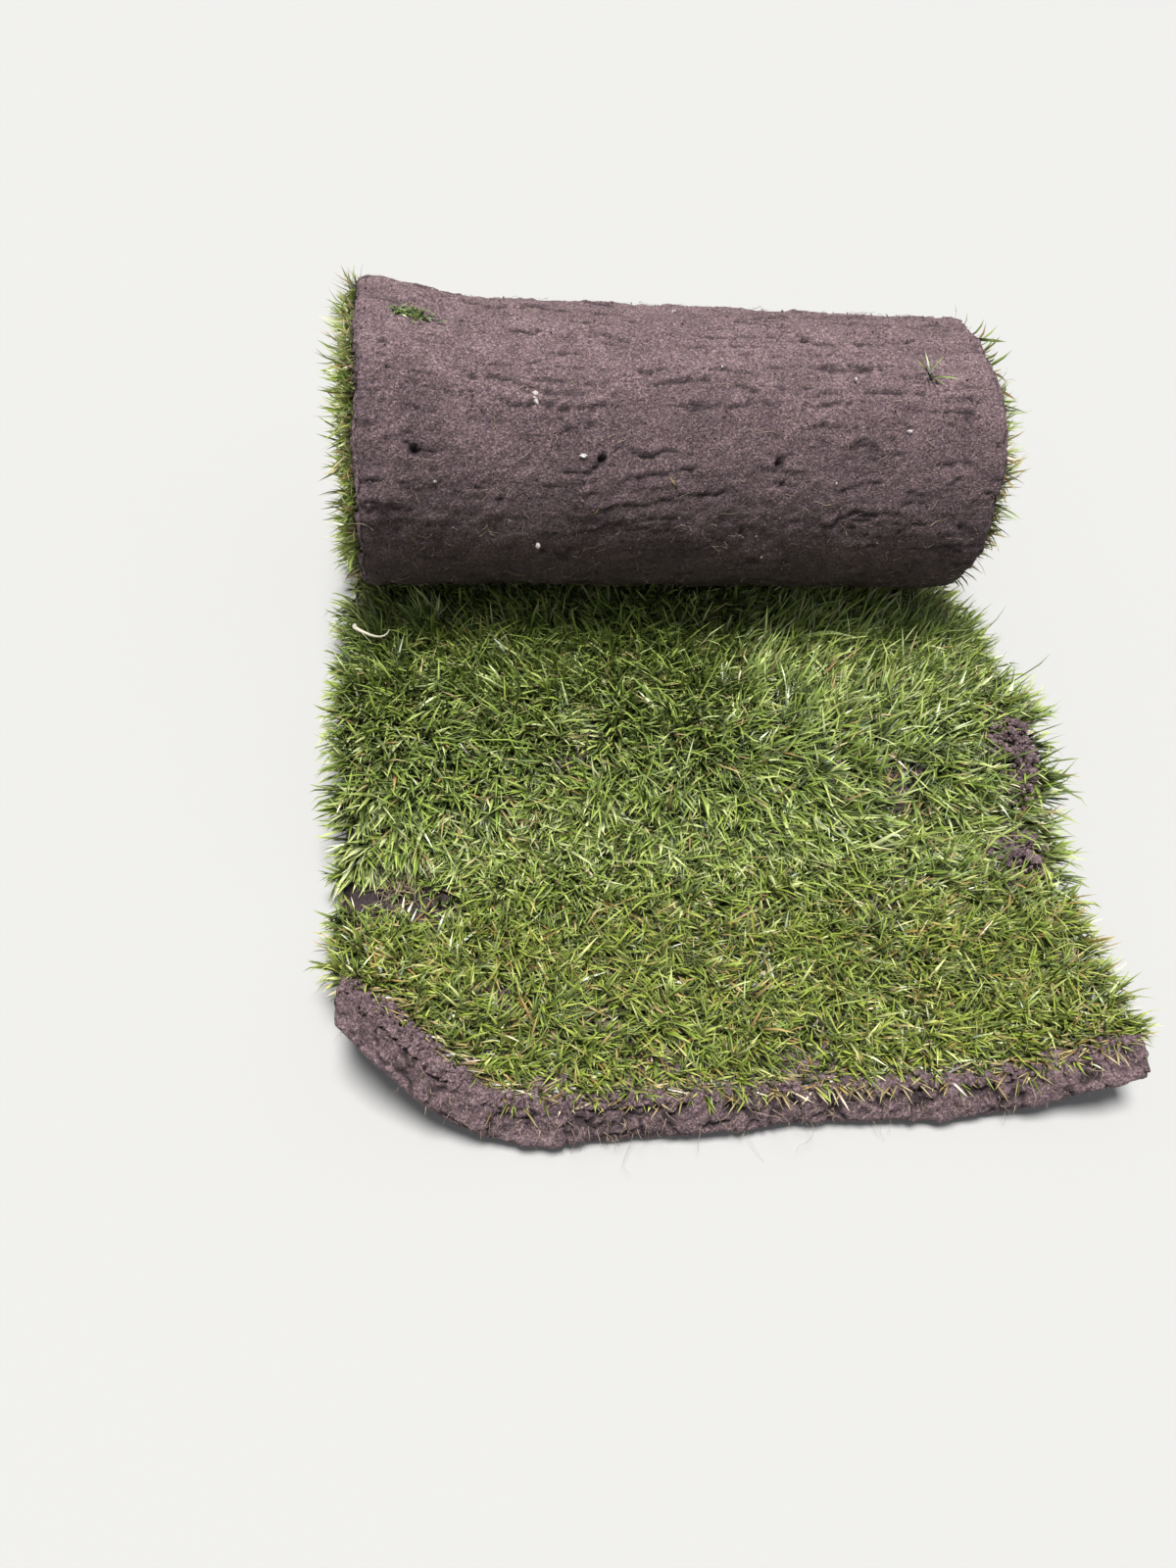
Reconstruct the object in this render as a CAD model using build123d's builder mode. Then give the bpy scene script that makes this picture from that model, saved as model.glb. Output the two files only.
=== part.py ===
from build123d import *
import os
from math import atan, ceil, cos, degrees, pi, radians, sin, sqrt

# Roll of turf, partly unrolled.
# Millimetres. X runs along the roll, -Y is the open front end and +Z is up.
# The strip lies grass up, and winds up, over and in with its cut soil face outward.

# The strip as it is cut
strip_length = 1640
strip_width = 622
soil_depth = 24
sward_open = 24
sward_packed = 24

# How far it is unrolled, and how the rest is wound; every turn sags flat at its bottom and top
tail_length = 570
core_bore = 64
turn_gap = 1
roll_flat = 42

# Places along the open tail, as shares of its length from the roll
bulge_share = 0.15
crown_share = 0.47
crease_share = 0.66
level_share = 0.74

# Heights of the open tail: a bulge behind the crease, higher at its right,
# then the front end, lifted at its corners
bulge_left = 36
bulge_right = 48
front_lift = 5
left_corner_curl = 46
right_corner_curl = 28
corner_width = 130

# Torn front end: its line in plan, and its face,
# which slopes forward to a thin rim and banks out at the left corner
left_corner_recess = 54
left_corner_bank = 8
front_bow = 10
front_wave = 3
bevel_reach = 17
bevel_rim = 8
bevel_undercut = 5

# Uneven side edges, and how far the ends of the roll are worn back from them
edge_wave = 6
edge_wave_pitch = 90
roll_wear_left = 12
roll_wear_right = 28

# The roll's outer turn stands up at its left end
flare_height = 15
flare_width = 115

# Three small holes in the wound soil face, at this angle forward of the roll's top
skin_hole_diameter = 6
skin_hole_depth = 9
skin_hole_angle = 52
skin_hole_places = (-247, -89, 67)

# The sward stands back from the mat's edges by this much, and just clears its soil
sward_setback = 3
sward_seat = 0.3

# How many sections are drawn across the strip, and how far they reach past its sides
side_spans = 4
middle_spans = 6
side_overhang = 6

half_width = strip_width / 2
winding_pitch = soil_depth + sward_packed + turn_gap
half_pitch = winding_pitch / 2

# The winding is made of half turns, each tighter than the last by half a pitch.
# Its outer radius follows from the length left to wind on and the hollow in the core.
wound_length = strip_length - tail_length
flat_radius = roll_flat / pi
inner_mid_radius = core_bore / 2 + sward_packed + soil_depth / 2
outer_mid_radius = sqrt((inner_mid_radius + flat_radius) ** 2 + wound_length * winding_pitch / pi) - flat_radius
half_turns = (outer_mid_radius - inner_mid_radius) / half_pitch
turn_arcs = ceil(half_turns)
last_arc = 180 * (half_turns - turn_arcs + 1)
first_radius = outer_mid_radius + soil_depth / 2 - half_pitch / 2

bulge_start = bulge_share * tail_length
crown = crown_share * tail_length
crease = crease_share * tail_length
level_end = level_share * tail_length


def smooth_step(value):
    """Rises from 0 to 1 without a corner."""
    value = min(max(value, 0), 1)
    return value * value * (3 - 2 * value)


def corner(x, side):
    """0 over most of the front edge, rising to 1 at one end of it (side -1 left, 1 right)."""
    return smooth_step((side * x - half_width + corner_width) / corner_width)


def front_reach(x):
    """How far the front edge stands ahead of the plain tail length."""
    across = x / half_width
    bow = front_bow * (1 - across * across)
    wave = front_wave * sin(5.5 * across + 3.9)
    torn = max(0, corner_width - half_width - x) / corner_width
    return bow + wave - left_corner_recess * torn**2


def bulge_height(x):
    """Height of the bulge's crown, which changes evenly from left to right."""
    return bulge_left + (bulge_right - bulge_left) * (x / half_width + 1) / 2


def flare(x):
    """How much higher the outer turn stands towards its left end."""
    return flare_height * smooth_step((flare_width - half_width - x) / flare_width)


def sweep(run, height):
    """Turn and radius of the arc that leaves the level and climbs a height over a run."""
    turn = 2 * atan(height / run)
    return degrees(turn), run / sin(turn)


def front_sweep(x):
    """Turn and radius of the arc that lifts the front end."""
    lift = front_lift + left_corner_curl * corner(x, -1) + right_corner_curl * corner(x, 1)
    return sweep(tail_length - level_end + front_reach(x), lift)


# The mat's box is centred on the origin front to back
front_extent = max(front_reach(half_width * step / 20) for step in range(-20, 21))
front_extent += tail_length + bevel_reach
back_extent = roll_flat + first_radius + flare_height / 2
roll_y = (front_extent - back_extent) / 2


def at(ahead, height):
    """A point of the section from its distance ahead of the roll's foot and its height."""
    return (roll_y - ahead, height)


def front_end(x, lift, reach):
    """A point lifted off the underside at the front end of the tail, and moved on along the strip."""
    turn, radius = front_sweep(x)
    ahead = level_end + (radius - lift) * sin(radians(turn)) + reach * cos(radians(turn))
    return at(ahead, radius - (radius - lift) * cos(radians(turn)) + reach * sin(radians(turn)))


def turn_radius(x, number):
    """Radius of the soil skin on one half turn, counted from 0 at the outside."""
    loose = flare(x) / 2 if number < 2 else 0
    return first_radius - number * half_pitch + loose


def turn_centre(x, number):
    """Centre of one half turn: the even ones rise at the back, the odd ones come down in front."""
    loose = flare(x) / 2 if number < 2 else 0
    if number % 2:
        return at(0, first_radius + half_pitch + loose)
    return at(-roll_flat, first_radius + loose)


def turn_point(x, number, lift, angle):
    """A point on one half turn, lifted inward from the soil skin."""
    centre = turn_centre(x, number)
    radius = turn_radius(x, number) - lift
    return (centre[0] + radius * cos(radians(angle)), centre[1] + radius * sin(radians(angle)))


def layer_face(x, tail_lift, roll_lift):
    """One face of a layer, lifted off the mat's underside, from the front end to the inner end."""
    front_turn, front_radius = front_sweep(x)
    fall_turn, fall_radius = sweep((crease - crown) / 2, bulge_height(x) / 2)
    rise_turn, rise_radius = sweep((crown - bulge_start) / 2, bulge_height(x) / 2)
    CenterArc(at(level_end, front_radius), front_radius - tail_lift, 270 - front_turn, front_turn)
    Line(at(level_end, tail_lift), at(crease, tail_lift))
    CenterArc(at(crease, fall_radius), fall_radius - tail_lift, 270, fall_turn)
    CenterArc(at(crown, bulge_height(x) - fall_radius), fall_radius + tail_lift, 90, fall_turn)
    CenterArc(at(crown, bulge_height(x) - rise_radius), rise_radius + tail_lift, 90 - rise_turn, rise_turn)
    CenterArc(at(bulge_start, rise_radius), rise_radius - tail_lift, 270 - rise_turn, rise_turn)
    Line(at(bulge_start, tail_lift), at(0, roll_lift))
    Line(at(0, roll_lift), at(-roll_flat, roll_lift))
    for number in range(turn_arcs):
        start = 90 if number % 2 else 270
        size = last_arc if number == turn_arcs - 1 else 180
        if number > 0:
            Line(turn_point(x, number - 1, roll_lift, start), turn_point(x, number, roll_lift, start))
        CenterArc(turn_centre(x, number), turn_radius(x, number) - roll_lift, start, size)


def front_bevel(x):
    """Corners of the mat's torn front end, each as a reach along the strip and a lift."""
    reach = bevel_reach + left_corner_bank * corner(x, -1)
    return [(reach - bevel_undercut, 0), (reach, bevel_rim)]


def upright_end(x):
    """The sward's front end has no further corners."""
    return []


def layer_section(x, lower, upper, nose):
    """Closed section of one layer, from its lifts on tail and roll, and the corners of its nose."""
    layer_face(x, *lower)
    layer_face(x, *upper)
    corners = [front_end(x, lift, reach) for reach, lift in nose(x)]
    Polyline(front_end(x, lower[0], 0), *corners, front_end(x, upper[0], 0))
    end_angle = last_arc + (270 if turn_arcs % 2 else 90)
    Line(turn_point(x, turn_arcs - 1, lower[1], end_angle), turn_point(x, turn_arcs - 1, upper[1], end_angle))


def stations():
    """Places across the strip at which its section is drawn, closer together at its two sides."""
    inner = half_width - corner_width
    outer = half_width + side_overhang
    side_places = [inner + (outer - inner) * step / side_spans for step in range(side_spans + 1)]
    middle_places = [inner * (2 * step / middle_spans - 1) for step in range(1, middle_spans)]
    return [-place for place in side_places[::-1]] + middle_places + side_places


def side_edge(side, inset):
    """Uneven side edge of the strip in plan, from behind the roll to ahead of the front end."""
    span = front_extent + back_extent + 2 * edge_wave_pitch
    count = round(2 * span / edge_wave_pitch)
    points = []
    for step in range(count + 1):
        ahead = span * step / count - back_extent - edge_wave_pitch
        wear = (roll_wear_left if side < 0 else roll_wear_right) * (1 - smooth_step(ahead / bulge_start))
        wave = edge_wave * (1 + sin(2.4 * step + side)) / 2
        points.append(at(ahead, side * (half_width - inset - wear - wave)))
    return [(x, y) for y, x in points]


def plan_outline(inset):
    """Outline of the strip seen from above, with its uneven sides."""
    Polyline(*side_edge(-1, inset), *side_edge(1, inset)[::-1], close=True)


def skin_plane(x):
    """Plane on the roll's skin at the small holes, facing outward."""
    angle = 90 + skin_hole_angle
    place = turn_point(x, 1, 0, angle)
    return Plane(origin=(x, *place), x_dir=(1, 0, 0), z_dir=(0, cos(radians(angle)), sin(radians(angle))))


# Lifts of the two layers' faces on the tail and on the roll
mat_below = (0, 0)
mat_above = (soil_depth, soil_depth)
sward_below = (soil_depth + sward_seat, soil_depth + sward_seat)
sward_above = (soil_depth + sward_open, soil_depth + sward_packed)

# Soil mat
with BuildPart() as soil_mat:
    for station in stations():
        with BuildSketch(Plane.YZ.offset(station)):
            with BuildLine():
                layer_section(station, mat_below, mat_above, front_bevel)
            make_face()
    loft(ruled=True)
    with BuildSketch(Plane.XY.offset(-strip_length)):
        with BuildLine():
            plan_outline(0)
        make_face()
    extrude(amount=2 * strip_length, mode=Mode.INTERSECT)
    for place in skin_hole_places:
        with BuildSketch(skin_plane(place)):
            Circle(skin_hole_diameter / 2)
        extrude(amount=-skin_hole_depth, both=True, mode=Mode.SUBTRACT)

# Grass sward
with BuildPart() as grass_sward:
    for station in stations():
        with BuildSketch(Plane.YZ.offset(station)):
            with BuildLine():
                layer_section(station, sward_below, sward_above, upright_end)
            make_face()
    loft(ruled=True)
    with BuildSketch(Plane.XY.offset(-strip_length)):
        with BuildLine():
            plan_outline(sward_setback)
        make_face()
    extrude(amount=2 * strip_length, mode=Mode.INTERSECT)

os.makedirs("parts", exist_ok=True)
soil_mat.part.label = "soil_mat"
grass_sward.part.label = "grass_sward"
export_step(soil_mat.part, "parts/soil_mat.step")
export_step(grass_sward.part, "parts/grass_sward.step")
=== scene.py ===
import math
from math import pi

import bpy
import numpy as np
from bpy.props import FloatProperty, FloatVectorProperty, IntProperty, PointerProperty
from mathutils import Matrix, Vector


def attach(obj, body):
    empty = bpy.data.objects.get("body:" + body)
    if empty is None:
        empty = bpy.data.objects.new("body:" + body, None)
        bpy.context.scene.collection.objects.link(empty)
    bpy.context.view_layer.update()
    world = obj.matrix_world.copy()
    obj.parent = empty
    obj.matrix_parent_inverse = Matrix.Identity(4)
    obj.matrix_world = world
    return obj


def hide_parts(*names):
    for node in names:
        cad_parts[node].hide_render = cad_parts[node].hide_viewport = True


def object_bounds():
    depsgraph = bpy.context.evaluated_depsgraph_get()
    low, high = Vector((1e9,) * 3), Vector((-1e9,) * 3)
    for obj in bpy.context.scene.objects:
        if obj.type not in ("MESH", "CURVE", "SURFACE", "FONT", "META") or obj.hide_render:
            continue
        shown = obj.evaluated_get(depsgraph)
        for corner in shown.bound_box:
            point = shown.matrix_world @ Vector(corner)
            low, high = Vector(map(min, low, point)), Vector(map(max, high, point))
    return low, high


bl_info = {
    "name": "Turf roll",
    "version": (1, 0, 0),
    "blender": (4, 5, 0),
    "location": "View3D > Sidebar > Turf",
    "description": "Builds a partly unrolled strip of turf: soil mat, grass blades, roots and stones",
    "category": "Object",
}

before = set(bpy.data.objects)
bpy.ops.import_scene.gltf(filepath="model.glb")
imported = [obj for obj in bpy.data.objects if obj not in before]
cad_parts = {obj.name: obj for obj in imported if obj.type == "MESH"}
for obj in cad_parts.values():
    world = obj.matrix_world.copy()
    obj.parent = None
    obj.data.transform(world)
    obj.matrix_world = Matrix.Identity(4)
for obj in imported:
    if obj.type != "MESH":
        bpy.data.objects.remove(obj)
CAD_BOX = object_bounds()
STRIP_WIDTH = round(CAD_BOX[1].x - CAD_BOX[0].x, 3)

# Settings

def length(name, description, default):
    """A length in metres, for a property group."""
    return FloatProperty(name=name, description=description, default=default, unit="LENGTH", precision=4)


def tint(name, description, default):
    """A colour, for a property group."""
    return FloatVectorProperty(name=name, description=description, subtype="COLOR", default=default)


def level(name, description, default, subtype="NONE"):
    """A plain amount, for a property group."""
    return FloatProperty(name=name, description=description, default=default, subtype=subtype)


def count(name, description, default, least=0):
    """A whole number, for a property group."""
    return IntProperty(name=name, description=description, default=default, min=least)


class TurfStripSettings(bpy.types.PropertyGroup):
    strip_length: length("Strip length", "Length of the strip as it is cut", 1.640)
    strip_width: length("Strip width", "Width of the strip with its spread edges", STRIP_WIDTH)
    soil_depth: length("Soil depth", "Thickness of the root-bound soil mat", 0.024)
    sward_open: length("Open sward", "Height of the grass on the open tail", 0.024)
    sward_packed: length("Packed sward", "Height of the grass pressed between turns", 0.024)
    tail_length: length("Tail length", "How far the strip is unrolled", 0.570)
    core_bore: length("Core bore", "Hollow about which the strip is wound", 0.064)
    turn_gap: length("Turn gap", "Clearance between turns", 0.001)
    roll_flat: length("Roll flat", "Sagged length at the bottom and top of each turn", 0.042)
    bulge_left: length("Left bulge", "Height of the tail's bulge at its left edge", 0.036)
    bulge_right: length("Right bulge", "Height of the tail's bulge at its right edge", 0.048)
    front_lift: length("Front lift", "Height of the middle of the front end", 0.005)
    left_corner_curl: length("Left corner curl", "Extra lift of the left front corner", 0.046)
    right_corner_curl: length("Right corner curl", "Extra lift of the right front corner", 0.028)
    corner_width: length("Corner width", "Width over which a front corner lifts", 0.130)
    left_corner_recess: length("Left corner recess", "How far the left front corner is torn back", 0.054)
    left_corner_bank: length("Left corner bank", "How much further the left corner's face banks out", 0.008)
    front_bow: length("Front bow", "How far the middle of the front edge stands ahead", 0.010)
    front_wave: length("Front wave", "Waviness of the front edge in plan", 0.003)
    bevel_reach: length("Bevel reach", "How far the torn front face slopes forward", 0.017)
    edge_wave: length("Edge wave", "Unevenness of the side edges", 0.006)
    roll_wear_left: length("Left roll wear", "How far the roll's left end is worn back", 0.012)
    roll_wear_right: length("Right roll wear", "How far the roll's right end is worn back", 0.028)
    flare_height: length("Flare height", "Extra height of the outer turn at its left end", 0.015)
    flare_width: length("Flare width", "Length of the flared stretch", 0.115)


class TurfSoilSettings(bpy.types.PropertyGroup):
    grid_step: length("Grid step", "Spacing of the modelled soil surface", 0.0024)
    clod_relief: length("Clod relief", "Height of the soil's lumps", 0.0026)
    crumb_relief: length("Crumb relief", "Height of the soil's fine crumbs", 0.0010)
    crack_depth: length("Crack depth", "Height of the ridges and cracks across the wound face", 0.0022)
    dark: tint("Dark soil", "Colour of moist, shaded soil", (0.033, 0.023, 0.026))
    mid: tint("Soil", "Main colour of the soil", (0.181, 0.121, 0.133))
    dry: tint("Dry soil", "Colour of dry crumbs", (0.497, 0.343, 0.367))


class TurfGrassSettings(bpy.types.PropertyGroup):
    blade_count: count("Blades", "Blades on the open tail", 74000, 1000)
    tuft_blades: count("Blades in a tuft", "Blades that grow together", 8, 1)
    tuft_spread: length("Tuft spread", "How far a tuft's blades stand from its middle", 0.0032)
    blade_length: length("Blade length", "Middle length of a blade", 0.031)
    blade_width: length("Blade width", "Widest part of a blade", 0.0022)
    pieces: count("Pieces", "Meshes that share the open tail's rear blades", 3, 1)
    seed: count("Seed", "Seed of the grass's random choices", 7)


class TurfStageSettings(bpy.types.PropertyGroup):
    floor_color: tint("Floor", "Colour of the plain floor", (0.40, 0.40, 0.397))
    focal_pixels: level("Focal length", "Focal length in pixels of the 1200 by 1600 image", 1155.0)
    sky_level: level("Sky level", "Strength of the even light around", 0.26)
    key_level: level("Key level", "Strength of the soft light from above", 5.9)
    key_spread: level("Key spread", "Angle that the light from above fills", 0.40, "ANGLE")


# Numbers and noise

def smooth_step(value):
    """Rises from 0 to 1 without a corner."""
    value = np.clip(value, 0.0, 1.0)
    return value * value * (3 - 2 * value)


def mix(low, high, share):
    return low + (high - low) * share


def cell_values(cells, seed):
    """Repeatable random values from -1 to 1 for whole-number cells (n, 3)."""
    c = cells.astype(np.int64)
    h = (c[:, 0] * 73856093) ^ (c[:, 1] * 19349663) ^ (c[:, 2] * 83492791) ^ (seed * 40503)
    h = (h ^ (h >> 13)) * 1274126177 & 0xFFFFFFFF
    h = (h ^ (h >> 16)) * 668265263 & 0xFFFFFFFF
    h = h ^ (h >> 15)
    return (h & 0xFFFFFF) / float(0x7FFFFF) - 1.0


def lattice_noise(points, size, seed):
    """Smooth noise from -1 to 1 with features of the given size."""
    p = points / size
    cell = np.floor(p)
    f = p - cell
    f = f * f * (3 - 2 * f)
    total = np.zeros(len(points))
    for dx in (0, 1):
        for dy in (0, 1):
            for dz in (0, 1):
                weight = np.abs(1 - dx - f[:, 0]) * np.abs(1 - dy - f[:, 1]) * np.abs(1 - dz - f[:, 2])
                total += weight * cell_values(cell + (dx, dy, dz), seed)
    return total


def layered_noise(points, size, seed, layers=3, fade=0.55):
    """Sum of noise layers, each finer and weaker than the last."""
    total = np.zeros(len(points))
    weight, reach = 1.0, 0.0
    for layer in range(layers):
        total += weight * lattice_noise(points, size / 2**layer, seed + 11 * layer)
        reach += weight
        weight *= fade
    return total / reach


# The strip's shape

class StripShape:
    """The strip's line in section and its edges in plan, in metres, from its driving dimensions."""

    def __init__(self, sizes):
        self.s = sizes
        s = sizes
        self.half = s.strip_width / 2
        self.pitch = s.soil_depth + s.sward_packed + s.turn_gap
        flat_radius = s.roll_flat / pi
        inner = s.core_bore / 2 + s.sward_packed + s.soil_depth / 2
        wound = s.strip_length - s.tail_length
        outer = math.sqrt((inner + flat_radius) ** 2 + wound * self.pitch / pi) - flat_radius
        half_turns = 2 * (outer - inner) / self.pitch
        self.turns = math.ceil(half_turns)
        self.last_arc = 180 * (half_turns - self.turns + 1)
        self.first_radius = outer + s.soil_depth / 2 - self.pitch / 4
        self.bulge_start = 0.15 * s.tail_length
        self.crown = 0.47 * s.tail_length
        self.crease = 0.66 * s.tail_length
        self.level_end = 0.74 * s.tail_length
        reach = np.max(self.front_reach(np.linspace(-self.half, self.half, 41)))
        self.front_extent = reach + s.tail_length + s.bevel_reach
        self.back_extent = s.roll_flat + self.first_radius + s.flare_height / 2
        self.roll_y = (self.front_extent - self.back_extent) / 2

    def corner(self, x, side):
        return smooth_step((side * x - self.half + self.s.corner_width) / self.s.corner_width)

    def front_reach(self, x):
        across = x / self.half
        bow = self.s.front_bow * (1 - across * across)
        wave = self.s.front_wave * np.sin(5.5 * across + 3.9)
        torn = np.maximum(0, self.s.corner_width - self.half - x) / self.s.corner_width
        return bow + wave - self.s.left_corner_recess * torn**2

    def bulge(self, x):
        return mix(self.s.bulge_left, self.s.bulge_right, (x / self.half + 1) / 2)

    def flare(self, x):
        return self.s.flare_height * smooth_step((self.s.flare_width - self.half - x) / self.s.flare_width)

    @staticmethod
    def sweep(run, height):
        turn = 2 * np.arctan(height / run)
        return turn, run / np.sin(turn)

    def turn_radius(self, x, number):
        loose = self.flare(x) / 2 if number < 2 else 0 * x
        return self.first_radius - number * self.pitch / 2 + loose

    def turn_centre(self, x, number):
        loose = self.flare(x) / 2 if number < 2 else 0 * x
        if number % 2:
            return self.roll_y + 0 * x, self.first_radius + self.pitch / 2 + loose
        return self.roll_y + self.s.roll_flat + 0 * x, self.first_radius + loose

    def tail_line(self, xs, step):
        """Underside of the tail from its front end to the roll's foot: y, z, normal y and normal z."""
        s = self.s
        lift = s.front_lift + s.left_corner_curl * self.corner(xs, -1)
        lift = lift + s.right_corner_curl * self.corner(xs, 1)
        front_turn, front_radius = self.sweep(s.tail_length - self.level_end + self.front_reach(xs), lift)
        fall_turn, fall_radius = self.sweep((self.crease - self.crown) / 2, self.bulge(xs) / 2)
        rise_turn, rise_radius = self.sweep((self.crown - self.bulge_start) / 2, self.bulge(xs) / 2)
        level, crease = self.roll_y - self.level_end, self.roll_y - self.crease
        crown, start = self.roll_y - self.crown, self.roll_y - self.bulge_start
        down, up = 1.5 * pi, 0.5 * pi
        b = self.bulge(xs)
        runs = [
            arc_run(level, front_radius, front_radius, down - front_turn, down, -1, step),
            line_run(level, crease, 0 * xs, 1, step),
            arc_run(crease, fall_radius, fall_radius, down, down + fall_turn, -1, step),
            arc_run(crown, b - fall_radius, fall_radius, up + fall_turn, up, 1, step),
            arc_run(crown, b - rise_radius, rise_radius, up, up - rise_turn, 1, step),
            arc_run(start, rise_radius, rise_radius, down - rise_turn, down, -1, step),
            line_run(start, self.roll_y, 0 * xs, 1, step),
        ]
        return joined(runs)

    def roll_line(self, xs, step, first, last):
        """Soil skin of the half turns from first to last, from the outside in."""
        runs = []
        if first == 0:
            runs.append(line_run(self.roll_y, self.roll_y + self.s.roll_flat, 0 * xs, 1, step))
        for number in range(first, last + 1):
            radius = self.turn_radius(xs, number)
            cy, cz = self.turn_centre(xs, number)
            size = math.radians(self.last_arc) if number == self.turns - 1 else pi
            start = 0.5 * pi if number % 2 else 1.5 * pi
            if number > first or (number and number % 2 == 0):
                y0 = self.turn_centre(xs, number - 1)[0]
                facing = -1 if number % 2 else 1
                runs.append(line_run(y0[0], cy[0], cz + radius * math.sin(start), facing, step))
            runs.append(arc_run(cy, cz, radius, start + 0 * radius, start + size + 0 * radius, -1, step))
        return joined(runs)

    def edges(self, y, on_roll, seed):
        """Left and right edge of the strip at places along it."""
        s = self.s
        points = np.stack([y, on_roll, 0 * y], 1)
        found = []
        for side, wear in ((-1, s.roll_wear_left), (1, s.roll_wear_right)):
            ragged = layered_noise(points + 7.3 * side, 0.040, seed + side, 4, 0.6)
            inset = s.edge_wave * (0.45 - 0.5 * ragged)
            worn = wear * smooth_step(on_roll / 0.05)
            found.append(side * (self.half - inset - worn))
        return found


def arc_run(cy, cz, radius, start, end, sign, step):
    """Samples of an arc whose angles may change across the strip."""
    longest = np.max(np.abs(np.asarray(end) - np.asarray(start)) * radius)
    count = max(2, int(np.ceil(longest / step)))
    share = np.linspace(0, 1, count + 1)[:, None]
    angle = start + (end - start) * share
    radius = radius + 0 * share
    across, up = np.cos(angle), np.sin(angle)
    return cy + radius * across, cz + radius * up, sign * across, sign * up


def line_run(y0, y1, z, sign, step):
    """Samples of a level run."""
    count = max(1, int(np.ceil(abs(y1 - y0) / step)))
    share = np.linspace(0, 1, count + 1)[:, None]
    y = y0 + (y1 - y0) * share + 0 * z
    return y, z + 0 * share, 0 * y, sign + 0 * y


def joined(runs):
    """Runs end to end, without their shared samples."""
    return [np.vstack([runs[0][k]] + [run[k][1:] for run in runs[1:]]) for k in range(4)]


def along(line):
    """Distance along a line from its first sample, in the middle of the strip."""
    y, z = line[0], line[1]
    mid = y.shape[1] // 2
    steps = np.hypot(np.diff(y[:, mid]), np.diff(z[:, mid]))
    return np.concatenate([[0], np.cumsum(steps)])


# Meshes

def new_piece(name, verts, faces, material, smooth=True):
    """A mesh piece that rides with the turf. faces is an (n, 3) or (n, 4) array."""
    verts = np.ascontiguousarray(verts, dtype=np.float32)
    faces = np.ascontiguousarray(faces, dtype=np.int32)
    mesh = bpy.data.meshes.new(name)
    sides = faces.shape[1]
    mesh.vertices.add(len(verts))
    mesh.vertices.foreach_set("co", verts.ravel())
    mesh.loops.add(faces.size)
    mesh.loops.foreach_set("vertex_index", faces.ravel())
    mesh.polygons.add(len(faces))
    mesh.polygons.foreach_set("loop_start", np.arange(0, faces.size, sides, dtype=np.int32))
    mesh.polygons.foreach_set("use_smooth", np.full(len(faces), smooth))
    mesh.update(calc_edges=True)
    mesh.materials.append(material)
    piece = bpy.data.objects.new(name, mesh)
    bpy.context.scene.collection.objects.link(piece)
    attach(piece, "root")
    return piece


def grid_faces(rows, columns, closed=False):
    """Quads of a grid of rows by columns; closed joins the last column to the first."""
    wide = columns if closed else columns - 1
    r, c = np.meshgrid(np.arange(rows - 1), np.arange(wide), indexing="ij")
    nxt = (c + 1) % columns
    quads = np.stack([r * columns + c, r * columns + nxt, (r + 1) * columns + nxt, (r + 1) * columns + c], -1)
    return quads.reshape(-1, 4)


# Materials

class NodeSheet:
    """Adds and links nodes in one tree."""

    def __init__(self, tree):
        self.tree = tree

    def add(self, kind, **values):
        node = self.tree.nodes.new(kind)
        for key, value in values.items():
            setattr(node, key, value)
        return node

    def link(self, source, target):
        self.tree.links.new(source, target)

    def math(self, operation, a, b=None, clamp=False):
        node = self.add("ShaderNodeMath", operation=operation, use_clamp=clamp)
        for socket, value in zip(node.inputs, (a, b)):
            if value is None:
                continue
            if isinstance(value, (int, float)):
                socket.default_value = value
            else:
                self.link(value, socket)
        return node.outputs[0]

    def blend(self, share, low, high):
        node = self.add("ShaderNodeMix", data_type="RGBA")
        for socket, value in ((node.inputs[0], share), (node.inputs[6], low), (node.inputs[7], high)):
            if isinstance(value, (int, float)):
                socket.default_value = value
            elif isinstance(value, tuple):
                socket.default_value = value
            else:
                self.link(value, socket)
        return node.outputs[2]

    def ramp(self, source, low, high, first=0.0, last=1.0):
        node = self.add("ShaderNodeMapRange", clamp=True)
        self.link(source, node.inputs[0])
        for index, value in enumerate((low, high, first, last)):
            node.inputs[index + 1].default_value = value
        return node.outputs[0]

    def noise(self, vector, scale, detail=3.0, rough=0.6):
        node = self.add("ShaderNodeTexNoise")
        node.inputs["Scale"].default_value = scale
        node.inputs["Detail"].default_value = detail
        node.inputs["Roughness"].default_value = rough
        self.link(vector, node.inputs["Vector"])
        return node.outputs["Fac"]


def opaque(color):
    return (color[0], color[1], color[2], 1.0)


def new_material(name):
    """A material, with its node sheet and its shader."""
    material = bpy.data.materials.new(name)
    material.use_nodes = True
    return material, NodeSheet(material.node_tree), material.node_tree.nodes["Principled BSDF"]


def add_bump(sheet, shader, height, strength, distance):
    """Fine relief from a height."""
    bump = sheet.add("ShaderNodeBump")
    bump.inputs["Strength"].default_value = strength
    bump.inputs["Distance"].default_value = distance
    sheet.link(height, bump.inputs["Height"])
    sheet.link(bump.outputs[0], shader.inputs["Normal"])


def group_tree(name, inputs, outputs):
    """A shader node group with named sockets; made once."""
    tree = bpy.data.node_groups.new(name, "ShaderNodeTree")
    for label, kind, default in inputs:
        socket = tree.interface.new_socket(name=label, in_out="INPUT", socket_type=kind)
        if default is not None:
            socket.default_value = default
    for label, kind in outputs:
        tree.interface.new_socket(name=label, in_out="OUTPUT", socket_type=kind)
    sheet = NodeSheet(tree)
    return sheet, sheet.add("NodeGroupInput"), sheet.add("NodeGroupOutput")


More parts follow.
